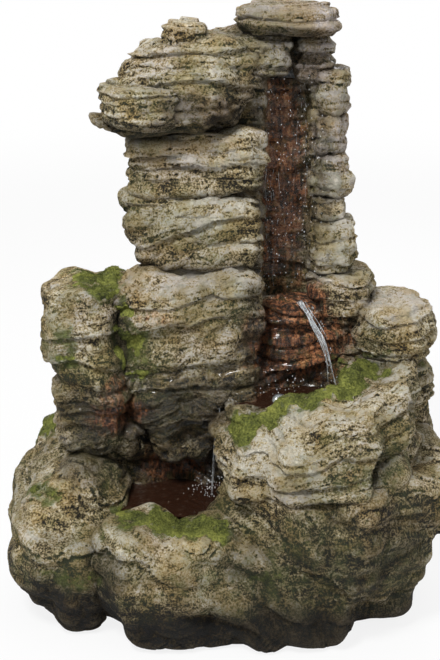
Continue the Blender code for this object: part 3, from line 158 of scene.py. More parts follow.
def set_values(mesh: bpy.types.Mesh, name: str, values: np.ndarray) -> None:
    """Keeps one number for each vertex under a name that the materials read."""
    attribute = mesh.attributes.new(name, "FLOAT", "POINT")
    attribute.data.foreach_set("value", values.astype(np.float32))


class Neighbours:
    """Which vertices of a mesh are joined by an edge, for averaging over them."""

    def __init__(self, mesh: bpy.types.Mesh) -> None:
        """Reads the edges."""
        edges = np.zeros(len(mesh.edges) * 2, np.int32)
        mesh.edges.foreach_get("vertices", edges)
        pairs = edges.reshape(-1, 2)
        self.start = np.concatenate((pairs[:, 0], pairs[:, 1]))
        self.end = np.concatenate((pairs[:, 1], pairs[:, 0]))
        self.size = len(mesh.vertices)
        self.count = np.maximum(np.bincount(self.start, minlength=self.size), 1)

    def mean(self, values: np.ndarray, times: int, share: float = 0.5) -> np.ndarray:
        """Draws values towards their neighbours' mean.

        Args:
            values: one number, or one row of numbers, for each vertex.
            times: how often.
            share: how far towards the mean each time.

        Returns:
            The averaged values, in the same form.
        """
        flat = values.reshape(self.size, -1).astype(float)
        for _ in range(times):
            for column in range(flat.shape[1]):
                total = np.bincount(self.start, flat[self.end, column], self.size)
                flat[:, column] += share * (total / self.count - flat[:, column])
        return flat.reshape(values.shape)


def new_object(name: str, mesh: bpy.types.Mesh, material: bpy.types.Material,
               body: str) -> bpy.types.Object:
    """Puts a mesh in the scene as a piece that rides on a body.

    Args:
        name: the piece's name.
        mesh: its mesh, in metres in the row frame.
        material: its finish.
        body: the body that it rides on.

    Returns:
        The new object.
    """
    mesh.materials.clear()
    mesh.materials.append(material)
    piece = bpy.data.objects.new(name, mesh)
    bpy.context.scene.collection.objects.link(piece)
    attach(piece, body)
    return piece


def mesh_from(name: str, points: np.ndarray, faces: list[tuple[int, ...]]) -> bpy.types.Mesh:
    """Makes a smooth-shaded mesh.

    Args:
        name: the mesh's name.
        points: rows of x, y and z.
        faces: the vertices of each face.

    Returns:
        The mesh.
    """
    mesh = bpy.data.meshes.new(name)
    mesh.from_pydata([tuple(p) for p in points], [], faces)
    mesh.shade_smooth()
    mesh.update()
    return mesh


class Shapes:
    """Gathers many small closed forms, such as drops, strands and blades, into one mesh."""

    def __init__(self) -> None:
        """Starts with nothing."""
        self.points: list[np.ndarray] = []
        self.faces: list[tuple[int, ...]] = []
        self.count = 0

    def add(self, points: np.ndarray, faces: list[tuple[int, ...]]) -> None:
        """Takes in one form."""
        self.faces += [tuple(self.count + corner for corner in face) for face in faces]
        self.points.append(points)
        self.count += len(points)

    def tube(self, path: np.ndarray, radii: np.ndarray, sides: int = 6, flat: float = 1.0) -> None:
        """Adds a strand that follows a path.

        Args:
            path: rows of x, y and z.
            radii: the strand's radius at each row.
            sides: corners of its section.
            flat: how much thinner it is across than wide.
        """
        along = np.gradient(path, axis=0)
        along /= np.linalg.norm(along, axis=1)[:, None] + 1e-9
        side = np.cross(along, (0.0, 1.0, 0.2))
        side /= np.linalg.norm(side, axis=1)[:, None] + 1e-9
        other = np.cross(side, along)
        rings = []
        for turn in np.linspace(0.0, math.tau, sides, endpoint=False):
            rings.append(path + radii[:, None] * (math.cos(turn) * side + flat * math.sin(turn) * other))
        points = np.stack(rings, axis=1).reshape(-1, 3)
        faces: list[tuple[int, ...]] = []
        for row in range(len(path) - 1):
            for turn in range(sides):
                a, b = row * sides + turn, row * sides + (turn + 1) % sides
                faces.append((a, b, b + sides, a + sides))
        faces.append(tuple(range(sides))[::-1])
        last = (len(path) - 1) * sides
        faces.append(tuple(range(last, last + sides)))
        self.add(points, faces)

    def drop(self, at: np.ndarray, radius: float, stretch: float = 1.5) -> None:
        """Adds a falling drop, rounder below than above."""
        levels = ((-1.0, 0.0), (-0.7, 0.72), (0.0, 1.0), (0.8 * stretch, 0.55), (1.5 * stretch, 0.0))
        turns = np.linspace(0.0, math.tau, 6, endpoint=False)
        points = []
        for level, width in levels[1:-1]:
            points += [(at[0] + radius * width * math.cos(t), at[1] + radius * width * math.sin(t),
                        at[2] + radius * level) for t in turns]
        points.append((at[0], at[1], at[2] - radius))
        points.append((at[0], at[1], at[2] + radius * levels[-1][0]))
        faces = [(6 * row + k, 6 * row + (k + 1) % 6, 6 * row + 6 + (k + 1) % 6, 6 * row + 6 + k)
                 for row in range(2) for k in range(6)]
        faces += [(18, (k + 1) % 6, k) for k in range(6)]
        faces += [(19, 12 + k, 12 + (k + 1) % 6) for k in range(6)]
        self.add(np.array(points), faces)

    def mesh(self, name: str) -> bpy.types.Mesh:
        """Returns everything that was added as one mesh."""
        return mesh_from(name, np.concatenate(self.points), self.faces)


# ---------------------------------------------------------------- shader building


class Graph:
    """A node tree, written node by node."""

    def __init__(self, tree: bpy.types.NodeTree) -> None:
        """Starts with the tree as it is."""
        self.tree = tree

    def node(self, kind: str, inputs: dict[str | int, object] | None = None,
             **settings: object) -> bpy.types.Node:
        """Adds a node.

        Args:
            kind: the node's type.
            inputs: values and sockets for its inputs, by name or number.
            settings: its own properties.

        Returns:
            The node.
        """
        made = self.tree.nodes.new(kind)
        for name, value in settings.items():
            setattr(made, name, value)
        for key, value in (inputs or {}).items():
            if isinstance(value, bpy.types.NodeSocket):
                self.tree.links.new(value, made.inputs[key])
            else:
                made.inputs[key].default_value = value
        return made

    def math(self, operation: str, first: object, second: object = 0.0, clamp: bool = False) -> Socket:
        """Adds a sum of one or two values and returns its result."""
        return self.node("ShaderNodeMath", {0: first, 1: second}, operation=operation,
                         use_clamp=clamp).outputs[0]

    def noise(self, vector: Socket, scale: float, detail: float = 3.0, rough: float = 0.55) -> Socket:
        """Adds a noise texture and returns its value."""
        return self.node("ShaderNodeTexNoise", {"Vector": vector, "Scale": scale, "Detail": detail,
                                                "Roughness": rough}).outputs["Fac"]

    def stretch(self, vector: Socket, scale: Point) -> Socket:
        """Scales a vector on each axis."""
        return self.node("ShaderNodeVectorMath", {0: vector, 1: scale}, operation="MULTIPLY").outputs[0]

    def mix(self, share: object, first: object, second: object, blend: str = "MIX") -> Socket:
        """Mixes two colours and returns the result."""
        made = self.node("ShaderNodeMix", data_type="RGBA", blend_type=blend)
        for key, value in ((0, share), (6, first), (7, second)):
            if isinstance(value, bpy.types.NodeSocket):
                self.tree.links.new(value, made.inputs[key])
            elif key == 0:
                made.inputs[key].default_value = value
            else:
                made.inputs[key].default_value = (*value, 1.0)
        return made.outputs[2]

    def ramp(self, value: Socket, stops: list[tuple[float, Colour]]) -> Socket:
        """Turns a value into a colour along a row of stops."""
        made = self.node("ShaderNodeValToRGB", {"Fac": value})
        row = made.color_ramp.elements
        while len(row) < len(stops):
            row.new(0.5)
        for element, (place, colour) in zip(row, stops):
            element.position = place
            element.color = (*colour, 1.0)
        return made.outputs["Color"]

    def span(self, value: Socket, low: float, high: float, start: float = 0.0, end: float = 1.0) -> Socket:
        """Maps a value from one span to another, smoothly and within its ends."""
        return self.node("ShaderNodeMapRange", {"Value": value, "From Min": low, "From Max": high,
                                                "To Min": start, "To Max": end},
                         interpolation_type="SMOOTHSTEP").outputs["Result"]

    def place(self) -> Socket:
        """Returns the place on the piece, in metres."""
        return self.node("ShaderNodeTexCoord").outputs["Object"]

    def read(self, name: str) -> Socket:
        """Returns the number that the mesh keeps under a name."""
        return self.node("ShaderNodeAttribute", attribute_name=name).outputs["Fac"]


class Groups:
    """The shader node groups that more than one finish uses, each made once."""

    made: dict[str, bpy.types.NodeTree] = {}

    @classmethod
    def start(cls, name: str, inputs: dict[str, float | Colour],
              outputs: dict[str, str]) -> tuple[Graph, dict[str, Socket], bpy.types.Node]:
        """Starts a group.

        Args:
            name: the group's name.
            inputs: its input names, with the number or colour that each starts from.
            outputs: its output names, with the kind of each socket.

        Returns:
            The graph, its inputs by name, and the node that takes its outputs.
        """
        tree = bpy.data.node_groups.new(name, "ShaderNodeTree")
        for label, value in inputs.items():
            kind = "NodeSocketColor" if isinstance(value, tuple) else "NodeSocketFloat"
            socket = tree.interface.new_socket(label, in_out="INPUT", socket_type=kind)
            socket.default_value = (*value, 1.0) if isinstance(value, tuple) else value
        for label, kind in outputs.items():
            tree.interface.new_socket(label, in_out="OUTPUT", socket_type=kind)
        cls.made[name] = tree
        entry = tree.nodes.new("NodeGroupInput")
        return Graph(tree), {label: entry.outputs[label] for label in inputs}, tree.nodes.new("NodeGroupOutput")

    @classmethod
    def use(cls, graph: Graph, name: str, inputs: dict[str, object] | None = None) -> dict[str, Socket]:
        """Places a group in a material.

        Args:
            graph: the material's graph.
            name: the group's name.
            inputs: values and sockets for its inputs.

        Returns:
            Its output sockets by name.
        """
        node = graph.tree.nodes.new("ShaderNodeGroup")
        node.node_tree = cls.made[name]
        for key, value in (inputs or {}).items():
            if isinstance(value, bpy.types.NodeSocket):
                graph.tree.links.new(value, node.inputs[key])
            elif isinstance(value, tuple):
                node.inputs[key].default_value = (*value, 1.0)
            else:
                node.inputs[key].default_value = value
        return {socket.name: socket for socket in node.outputs}

    @classmethod
    def make_all(cls) -> None:
        """Makes every group."""
        cls.strata()
        cls.grit()
        cls.blotches()
        cls.film()
        cls.moulding()

    @classmethod
    def strata(cls) -> None:
        """Thin wavy beds of stone: a tone, and a height for the bump."""
        graph, inputs, out = cls.start(
            "stone_strata", {"Waviness": 0.05, "Fine Beds": 150.0, "Broad Beds": 34.0},
            {"Tone": "NodeSocketFloat", "Crack": "NodeSocketFloat", "Height": "NodeSocketFloat"})
        place = graph.place()
        warp = graph.node("ShaderNodeTexNoise", {"Vector": place, "Scale": 5.5, "Detail": 3.0}).outputs["Color"]
        warp = graph.node("ShaderNodeVectorMath", {0: warp, 1: (0.5, 0.5, 0.5)},
                          operation="SUBTRACT").outputs[0]
        warp = graph.node("ShaderNodeVectorMath", {0: warp, "Scale": inputs["Waviness"]},
                          operation="SCALE").outputs[0]
        bent = graph.node("ShaderNodeVectorMath", {0: place, 1: warp}, operation="ADD").outputs[0]
        parts = graph.node("ShaderNodeSeparateXYZ", {0: bent})

        def beds(across: float, density: Socket, detail: float) -> Socket:
            """Noise that is drawn out along the beds."""
            vector = graph.node("ShaderNodeCombineXYZ", {
                "X": graph.math("MULTIPLY", parts.outputs["X"], across),
                "Y": graph.math("MULTIPLY", parts.outputs["Y"], across),
                "Z": graph.math("MULTIPLY", parts.outputs["Z"], density)}).outputs[0]
            return graph.noise(vector, 1.0, detail, 0.62)
        fine = beds(34.0, inputs["Fine Beds"], 7.0)
        broad = beds(9.0, inputs["Broad Beds"], 5.0)
        split = beds(19.0, graph.math("MULTIPLY", inputs["Broad Beds"], 1.9), 5.0)
        tone = graph.math("ADD", graph.math("MULTIPLY", fine, 0.55), graph.math("MULTIPLY", broad, 0.45))
        away = graph.math("ABSOLUTE", graph.math("SUBTRACT", split, 0.5))
        torn = graph.span(graph.noise(place, 31.0, 3.0), 0.42, 0.62)
        crack = graph.math("MULTIPLY", graph.span(away, 0.0, 0.026, 1.0, 0.0), torn)
        graph.tree.links.new(graph.span(tone, 0.36, 0.64), out.inputs["Tone"])
        graph.tree.links.new(crack, out.inputs["Crack"])
        graph.tree.links.new(graph.math("SUBTRACT", tone, graph.math("MULTIPLY", crack, 0.35)),
                             out.inputs["Height"])

    @classmethod
    def grit(cls) -> None:
        """The sandy grain of a cast or weathered surface."""
        graph, inputs, out = cls.start("mineral_grit", {"Size": 260.0}, {"Grain": "NodeSocketFloat"})
        place = graph.place()
        grain = graph.node("ShaderNodeTexNoise", {"Vector": place, "Scale": inputs["Size"], "Detail": 3.0})
        graph.tree.links.new(grain.outputs["Fac"], out.inputs["Grain"])

    @classmethod
    def blotches(cls) -> None:
        """Large soft stains and smaller mottling."""
        graph, inputs, out = cls.start(
            "soft_blotches", {"Size": 9.0},
            {"Large": "NodeSocketFloat", "Small": "NodeSocketFloat", "Fine": "NodeSocketFloat"})
        place = graph.place()
        large = graph.node("ShaderNodeTexNoise", {"Vector": place, "Scale": inputs["Size"], "Detail": 3.0})
        small = graph.node("ShaderNodeTexNoise", {"Vector": place, "Detail": 5.0, "Roughness": 0.65,
                                                  "Scale": graph.math("MULTIPLY", inputs["Size"], 4.5)})
        fine = graph.node("ShaderNodeTexNoise", {"Vector": place, "Detail": 6.0, "Roughness": 0.7,
                                                 "Scale": graph.math("MULTIPLY", inputs["Size"], 13.0)})
        graph.tree.links.new(graph.span(fine.outputs["Fac"], 0.34, 0.66), out.inputs["Fine"])
        graph.tree.links.new(graph.span(large.outputs["Fac"], 0.38, 0.62), out.inputs["Large"])
        graph.tree.links.new(graph.span(small.outputs["Fac"], 0.36, 0.64), out.inputs["Small"])

    @classmethod
    def film(cls) -> None:
        """A film of water: how wet a place is, broken up by runs down the face."""
        graph, inputs, out = cls.start(
            "wet_film", {"Wet": 0.0, "Runs": 38.0}, {"Mask": "NodeSocketFloat", "Glint": "NodeSocketFloat"})
        place = graph.place()
        parts = graph.node("ShaderNodeSeparateXYZ", {0: place})
        vector = graph.node("ShaderNodeCombineXYZ", {
            "X": graph.math("MULTIPLY", parts.outputs["X"], inputs["Runs"]),
            "Y": graph.math("MULTIPLY", parts.outputs["Y"], inputs["Runs"]),
            "Z": graph.math("MULTIPLY", parts.outputs["Z"], 7.0)}).outputs[0]
        runs = graph.noise(vector, 1.0, 4.0, 0.6)
        mask = graph.math("ADD", inputs["Wet"], graph.math("MULTIPLY", graph.math("SUBTRACT", runs, 0.5), 0.7))
        graph.tree.links.new(graph.span(mask, 0.2, 0.75), out.inputs["Mask"])
        graph.tree.links.new(graph.span(graph.noise(place, 190.0, 2.0), 0.60, 0.72), out.inputs["Glint"])

    @classmethod
    def moulding(cls) -> None:
        """The faint orange peel, scuffs and settled lime of moulded plastic and metal parts in water."""
        graph, inputs, out = cls.start(
            "moulded_surface", {"Scuffs": 60.0, "Lime": 0.2},
            {"Peel": "NodeSocketFloat", "Scuff": "NodeSocketFloat", "Deposit": "NodeSocketFloat"})
        place = graph.place()
        graph.tree.links.new(graph.noise(place, 900.0, 1.0), out.inputs["Peel"])
        scuff = graph.node("ShaderNodeTexNoise", {
            "Vector": graph.stretch(place, (1.0, 4.0, 9.0)), "Scale": inputs["Scuffs"], "Detail": 4.0})
        graph.tree.links.new(graph.span(scuff.outputs["Fac"], 0.55, 0.7), out.inputs["Scuff"])
        lime = graph.math("MULTIPLY", graph.span(graph.noise(place, 22.0, 5.0), 0.5, 0.72), inputs["Lime"])
        graph.tree.links.new(lime, out.inputs["Deposit"])


def new_material(name: str) -> tuple[bpy.types.Material, Graph, bpy.types.Node]:
    """Starts a material.

    Args:
        name: its name.

    Returns:
        The material, its graph and its Principled shader.
    """
    material = bpy.data.materials.new(name)
    material.use_nodes = True
    graph = Graph(material.node_tree)
    return material, graph, material.node_tree.nodes["Principled BSDF"]


def plug(graph: Graph, shader: bpy.types.Node, **sockets: object) -> None:
    """Sets or links a shader's inputs, with _ for the blanks in their names."""
    for name, value in sockets.items():
        socket = shader.inputs[name.replace("_", " ")]
        if isinstance(value, bpy.types.NodeSocket):
            graph.tree.links.new(value, socket)
        elif isinstance(value, tuple):
            socket.default_value = (*value, 1.0)
        else:
            socket.default_value = value


def bump(graph: Graph, height: Socket, strength: float, distance: float, base: Socket | None = None) -> Socket:
    """Adds a bump of a height over another normal and returns the new normal."""
    inputs: dict[str | int, object] = {"Height": height, "Strength": strength, "Distance": distance}
    if base is not None:
        inputs["Normal"] = base
    return graph.node("ShaderNodeBump", inputs).outputs["Normal"]


@dataclass(frozen=True)
class StoneFinish:
    """Weathered stone, pale on its worn edges and darker and glossier where water runs."""

    name: str = "layered_rock"
    bright: Colour = srgb(252, 245, 226)
    cream: Colour = srgb(234, 216, 172)
    middle: Colour = srgb(172, 154, 108)
    brown: Colour = srgb(102, 89, 57)
    dark: Colour = srgb(32, 29, 21)
    purple: Colour = srgb(220, 210, 232)
    ochre: Colour = srgb(218, 196, 140)
    algae: Colour = srgb(98, 112, 66)
    rust: Colour = srgb(208, 134, 86)
    rust_light: Colour = srgb(238, 184, 136)
    rust_middle: Colour = srgb(140, 92, 62)
    rust_dark: Colour = srgb(60, 43, 31)
    wet_tint: Colour = srgb(172, 166, 158)
    moss_light: Colour = srgb(132, 146, 62)
    moss_dark: Colour = srgb(60, 70, 32)
    bed_share: float = 0.26
    mottle_share: float = 0.62
    grain_share: float = 0.50
    base_tone: float = -0.25
    waviness: float = 0.05
    fine_beds: float = 150.0

    def tone(self, graph: Graph, strata: dict[str, Socket], stains: dict[str, Socket],
             grit: dict[str, Socket]) -> Socket:
        """Works out how light the stone is.

        Args:
            graph: the material's graph.
            strata: the sockets of the beds.
            stains: the sockets of the stains.
            grit: the sockets of the grain.

        Returns:
            A value of 0, dark, to 1, light.
        """
        value = graph.math("MULTIPLY", strata["Tone"], self.bed_share)
        for part, share in ((stains["Small"], 0.4 * self.mottle_share), (stains["Fine"], 0.6 * self.mottle_share),
                            (graph.span(grit["Grain"], 0.36, 0.64), self.grain_share),
                            (graph.read("tone"), 0.08), (graph.read("top"), 0.26), (graph.read("pale"), 0.30),
                            (graph.read("edge"), 0.54), (graph.read("relief"), -0.26),
                            (strata["Crack"], -0.5 * self.bed_share)):
            value = graph.math("ADD", value, graph.math("MULTIPLY", part, share))
        return graph.math("ADD", value, self.base_tone, clamp=True)

    def tints(self, graph: Graph, colour: Socket, stains: dict[str, Socket]) -> Socket:
        """Adds the purple, ochre and green casts of the stone.

        Args:
            graph: the material's graph.
            colour: the stone's colour so far.
            stains: the sockets of the stains.

        Returns:
            The tinted colour.
        """
        place = graph.place()
        cool = graph.math("MAXIMUM", graph.math("MULTIPLY", stains["Large"], 0.34), graph.read("cool"))
        colour = graph.mix(cool, colour, graph.mix(1.0, colour, self.purple, "MULTIPLY"))
        warm = graph.math("MULTIPLY", graph.span(graph.noise(place, 15.0, 6.0, 0.6), 0.44, 0.60), 0.65)
        colour = graph.mix(warm, colour, graph.mix(1.0, colour, self.ochre, "MULTIPLY"))
        green = graph.math("MULTIPLY", graph.span(graph.noise(place, 7.3, 6.0), 0.42, 0.62), 0.60)
        green = graph.math("MAXIMUM", green, graph.math("MULTIPLY", graph.read("green"), graph.span(
            stains["Small"], -0.4, 0.9)))
        return graph.mix(green, colour, graph.mix(0.55, colour, self.algae))

    def rusted(self, graph: Graph, colour: Socket, stains: dict[str, Socket], grain: Socket) -> Socket:
        """Adds the iron stains, drawn down the face by the water.

        Args:
            graph: the material's graph.
            colour: the stone's colour so far.
            stains: the sockets of the stains.
            grain: the grain of the stone.

        Returns:
            The stained colour.
        """
        runs = graph.noise(graph.stretch(graph.place(), (110.0, 110.0, 16.0)), 1.0, 6.0, 0.65)
        value = graph.math("ADD", graph.math("MULTIPLY", graph.span(runs, 0.36, 0.64), 0.50),
                           graph.math("MULTIPLY", stains["Fine"], 0.28))
        value = graph.math("ADD", value, graph.math("MULTIPLY", graph.read("pale"), 0.16))
        value = graph.math("ADD", value, graph.math("MULTIPLY", graph.span(grain, 0.36, 0.64), 0.26))
        rusty = graph.ramp(value, [(0.34, self.rust_dark), (0.54, self.rust_middle), (0.78, self.rust),
                                        (0.96, self.rust_light)])
        share = graph.math("MULTIPLY", graph.read("rust"), graph.span(stains["Small"], -0.9, 0.3), clamp=True)
        return graph.mix(share, colour, rusty)

    def material(self) -> bpy.types.Material:
        """Returns the stone's material."""
        material, graph, shader = new_material(self.name)
        strata = Groups.use(graph, "stone_strata", {"Waviness": self.waviness, "Fine Beds": self.fine_beds})
        grit = Groups.use(graph, "mineral_grit")
        stains = Groups.use(graph, "soft_blotches", {"Size": 8.0})
        film = Groups.use(graph, "wet_film", {"Wet": graph.read("wet")})
        value = self.tone(graph, strata, stains, grit)
        colour = graph.ramp(value, [(0.16, self.dark), (0.36, self.brown), (0.54, self.middle),
                                    (0.80, self.cream), (1.0, self.bright)])
        colour = self.rusted(graph, self.tints(graph, colour, stains), stains, grit["Grain"])
        colour = graph.mix(graph.math("MULTIPLY", film["Mask"], 0.75), colour,
                           graph.mix(1.0, colour, self.wet_tint, "MULTIPLY"))
        moss = graph.span(graph.math("ADD", graph.read("moss"), graph.math(
            "MULTIPLY", graph.math("SUBTRACT", stains["Small"], 0.5), 0.7)), 0.10, 0.85)
        mossy = graph.mix(graph.math("MULTIPLY", graph.math("ADD", stains["Fine"], grit["Grain"]), 0.5),
                          self.moss_dark, self.moss_light)
        colour = graph.mix(graph.math("MULTIPLY", moss, 0.85), colour, mossy)
        lit = graph.math("SUBTRACT", 1.0, graph.math("MULTIPLY", graph.read("rust"), 0.75))
        colour = graph.mix(graph.math("MULTIPLY", graph.read("shade"), lit), colour,
                           graph.mix(1.0, colour, srgb(82, 75, 62), "MULTIPLY"))
        rough = graph.span(film["Mask"], 0.0, 1.0, 0.90, 0.34)
        rough = graph.math("SUBTRACT", rough, graph.math("MULTIPLY", graph.math(
            "MULTIPLY", film["Glint"], film["Mask"]), 0.2))
        normal = bump(graph, strata["Height"], min(1.0, 3.0 * self.bed_share), 0.010)
        normal = bump(graph, stains["Small"], 0.6, 0.010, normal)
        normal = bump(graph, stains["Fine"], 0.9, 0.0070, normal)
        normal = bump(graph, grit["Grain"], 1.0, 0.0055, normal)
        plug(graph, shader, Base_Color=colour, Roughness=rough, Normal=normal,
             Coat_Weight=graph.math("MULTIPLY", film["Mask"], 0.35), Coat_Roughness=0.12)
        return material


@dataclass(frozen=True)
class MossFinish:
    """Soft moss, yellow-green on its tips and dark between them."""

    name: str = "moss_cushion"
    bright: Colour = srgb(158, 160, 82)
    middle: Colour = srgb(108, 114, 56)
    dark: Colour = srgb(48, 52, 30)

    def material(self) -> bpy.types.Material:
        """Returns the moss material."""
        material, graph, shader = new_material(self.name)
        place = graph.place()
        tufts = graph.noise(place, 210.0, 4.0, 0.7)
        beds = graph.noise(place, 24.0, 3.0)
        value = graph.math("ADD", graph.math("MULTIPLY", tufts, 0.55), graph.math("MULTIPLY", beds, 0.45))
        colour = graph.ramp(value, [(0.36, self.dark), (0.50, self.middle), (0.64, self.bright)])
        plug(graph, shader, Base_Color=colour, Roughness=0.95, Specular_IOR_Level=0.2,
             Normal=bump(graph, tufts, 0.9, 0.004))
        return material


@dataclass(frozen=True)
class WaterFinish:
    """Clear or broken water: tinted by what lies under it, whiter where it is broken up."""

    name: str
    tint: Colour
    foam: Colour
    foam_share: float
    clear: float
    ripple: float

    def material(self) -> bpy.types.Material:
        """Returns the water's material."""
        material, graph, shader = new_material(self.name)
        place = graph.place()
        broken = graph.noise(graph.stretch(place, (1.0, 1.0, 0.25)), 95.0, 4.0, 0.65)
        edge = 0.72 - 0.5 * self.foam_share
        mask = graph.span(broken, edge - 0.09, edge + 0.09)
        colour = graph.mix(mask, self.tint, self.foam)
        swell = graph.noise(place, 34.0, 3.0)
        normal = bump(graph, swell, self.ripple, 0.006)
        normal = bump(graph, broken, 0.5 * self.ripple, 0.003, normal)
        plug(graph, shader, Base_Color=colour, Roughness=graph.span(mask, 0.0, 1.0, 0.04, 0.28), Normal=normal,
             Transmission_Weight=self.clear, IOR=1.333)
        return material


class Make(Enum):
    """What a fitting of the pump set is made of."""

    BLACK_PLASTIC = "black_plastic"
    GREY_PLASTIC = "grey_plastic"
    RUBBER = "rubber"
    STEEL = "stainless_steel"
    CERAMIC = "ceramic"
    FOAM = "filter_foam"
    LENS = "lamp_glass"


@dataclass(frozen=True)
class FittingFinish:
    """A moulded, turned or pressed fitting, with scuffs and a little lime from the water."""

    make: Make
    colour: Colour
    worn: Colour
    rough: float
    metal: float = 0.0
    lime: float = 0.25
    grain: float = 60.0

    def material(self) -> bpy.types.Material:
        """Returns the fitting's material."""
        material, graph, shader = new_material(f"{self.make.value}_finish")
        surface = Groups.use(graph, "moulded_surface", {"Scuffs": self.grain, "Lime": self.lime})
        stains = Groups.use(graph, "soft_blotches", {"Size": 30.0})
        colour = graph.mix(graph.math("MULTIPLY", surface["Scuff"], 0.6), self.colour, self.worn)
        colour = graph.mix(graph.math("MULTIPLY", stains["Small"], 0.22), colour, self.worn)
        colour = graph.mix(surface["Deposit"], colour, srgb(196, 190, 172))
        rough = graph.math("ADD", graph.math("MULTIPLY", surface["Scuff"], 0.16), self.rough)
        rough = graph.math("ADD", rough, graph.math("MULTIPLY", surface["Deposit"], 0.5), clamp=True)
        normal = bump(graph, surface["Peel"], 0.12, 0.0004)
        if self.make is Make.FOAM:
            cells = graph.node("ShaderNodeTexVoronoi", {"Vector": graph.place(), "Scale": 620.0})
            normal = bump(graph, cells.outputs["Distance"], 0.9, 0.0015)
            colour = graph.mix(graph.span(cells.outputs["Distance"], 0.5, 0.1), colour, srgb(8, 9, 10))
        if self.make is Make.STEEL:
            brushed = graph.noise(graph.stretch(graph.place(), (6.0, 6.0, 420.0)), 3.0, 3.0)
            normal = bump(graph, brushed, 0.25, 0.0004)
        plug(graph, shader, Base_Color=colour, Roughness=rough, Metallic=self.metal, Normal=normal)
        if self.make is Make.LENS:
            plug(graph, shader, Transmission_Weight=0.7, IOR=1.49)
        return material


# ---------------------------------------------------------------- stones


@dataclass(frozen=True)
class Patch:
    """A soft-edged place on the stones, such as one that moss has taken."""

    at: Point
    reach: Point
    strength: float = 1.0


@dataclass(frozen=True)
class Bedding:
    """How a stone is split along its beds, in metres."""

    thickness: float = 0.012
    depth: float = 0.011
    groove: float = 0.0026
    lump: float = 0.004
    terrace: float = 0.55
    dip: tuple[float, float] = (0.06, 0.02)
    wobble: float = 0.012
    tone: float = 0.0
    voxel: float = 0.0040
    rounding: int = 1
    lumps: float = 10.0
    swell: float = 0.0
    shelf: float = 0.034
    shelf_depth: float = 0.010
    folds: tuple[tuple[Point, float, float], ...] = ()


MOSS = (
    Patch((-0.264, 0.020, 0.704), (0.052, 0.110, 0.035)),
    Patch((-0.255, -0.060, 0.700), (0.034, 0.050, 0.030), 0.9),
    Patch((-0.335, -0.088, 0.580), (0.026, 0.060, 0.055), 0.75),
    Patch((-0.322, -0.092, 0.540), (0.024, 0.040, 0.030), 0.6),
    Patch((-0.205, -0.066, 0.640), (0.026, 0.050, 0.040), 0.8),
    Patch((-0.198, -0.066, 0.595), (0.036, 0.050, 0.050)),
    Patch((-0.185, -0.064, 0.540), (0.036, 0.050, 0.045), 0.9),
    Patch((0.022, -0.190, 0.440), (0.040, 0.060, 0.028)),
    Patch((0.065, -0.190, 0.466), (0.040, 0.034, 0.022), 0.95),
    Patch((0.105, -0.178, 0.482), (0.040, 0.030, 0.022), 0.95),
    Patch((0.145, -0.165, 0.492), (0.045, 0.030, 0.022), 0.9),
    Patch((0.186, -0.168, 0.501), (0.038, 0.034, 0.022), 0.95),
    Patch((0.222, -0.146, 0.508), (0.038, 0.034, 0.022), 0.95),
    Patch((0.255, -0.105, 0.516), (0.034, 0.044, 0.024), 0.95),
    Patch((0.195, -0.120, 0.510), (0.040, 0.050, 0.024), 0.95),
    Patch((0.240, -0.060, 0.515), (0.040, 0.050, 0.028)),
    Patch((0.290, -0.062, 0.533), (0.048, 0.052, 0.028)),
    Patch((-0.155, -0.205, 0.248), (0.075, 0.055, 0.030)),
    Patch((-0.060, -0.228, 0.245), (0.075, 0.045, 0.028)),
    Patch((-0.215, -0.165, 0.245), (0.028, 0.045, 0.028), 0.8),
    Patch((-0.372, -0.150, 0.285), (0.040, 0.050, 0.030), 0.65),
    Patch((-0.300, -0.250, 0.150), (0.060, 0.050, 0.020), 0.6),
    Patch((0.080, -0.290, 0.165), (0.030, 0.040, 0.014), 0.55),
    Patch((-0.245, -0.230, 0.215), (0.012, 0.040, 0.032), 0.65),
    Patch((-0.250, 0.190, 0.555), (0.070, 0.060, 0.040), 0.9),
    Patch((0.390, 0.110, 0.520), (0.060, 0.080, 0.035), 0.8),
    Patch((-0.400, 0.110, 0.330), (0.060, 0.070, 0.060), 0.7),
    Patch((0.200, 0.290, 0.330), (0.090, 0.060, 0.060), 0.6),
)

RUST = (
    Patch((0.118, 0.110, 0.880), (0.058, 0.040, 0.260)),
    Patch((0.140, 0.000, 0.560), (0.120, 0.070, 0.110), 1.2),
    Patch((0.145, 0.010, 0.650), (0.060, 0.080, 0.040), 1.5),
    Patch((0.150, -0.060, 0.440), (0.110, 0.090, 0.050)),
    Patch((-0.225, -0.060, 0.425), (0.060, 0.060, 0.045), 1.2),
    Patch((-0.235, -0.060, 0.480), (0.030, 0.060, 0.040), 0.7),
    Patch((-0.120, 0.010, 0.280), (0.080, 0.050, 0.050), 1.0),
    Patch((-0.100, -0.060, 0.180), (0.110, 0.110, 0.050), 1.0),
    Patch((-0.145, -0.055, 0.640), (0.050, 0.040, 0.020), 0.45),
    Patch((0.050, -0.060, 0.620), (0.020, 0.040, 0.030), 0.5),
)

WET = (
    Patch((-0.060, -0.050, 0.420), (0.150, 0.080, 0.110)),
    Patch((0.060, 0.000, 0.540), (0.100, 0.090, 0.120)),
    Patch((0.125, 0.080, 0.880), (0.075, 0.060, 0.280)),
    Patch((0.200, 0.060, 0.900), (0.030, 0.060, 0.220), 0.7),
    Patch((0.140, -0.050, 0.450), (0.130, 0.110, 0.060)),
    Patch((-0.100, -0.050, 0.250), (0.140, 0.110, 0.090)),
    Patch((-0.240, -0.060, 0.430), (0.070, 0.060, 0.060), 0.9),
    Patch((-0.300, -0.110, 0.330), (0.080, 0.080, 0.070), 0.6),
    Patch((0.130, 0.070, 1.120), (0.080, 0.060, 0.060)),
    Patch((0.300, 0.090, 0.600), (0.070, 0.070, 0.060), 0.5),
    Patch((0.030, 0.020, 0.700), (0.050, 0.060, 0.060), 0.7),
)


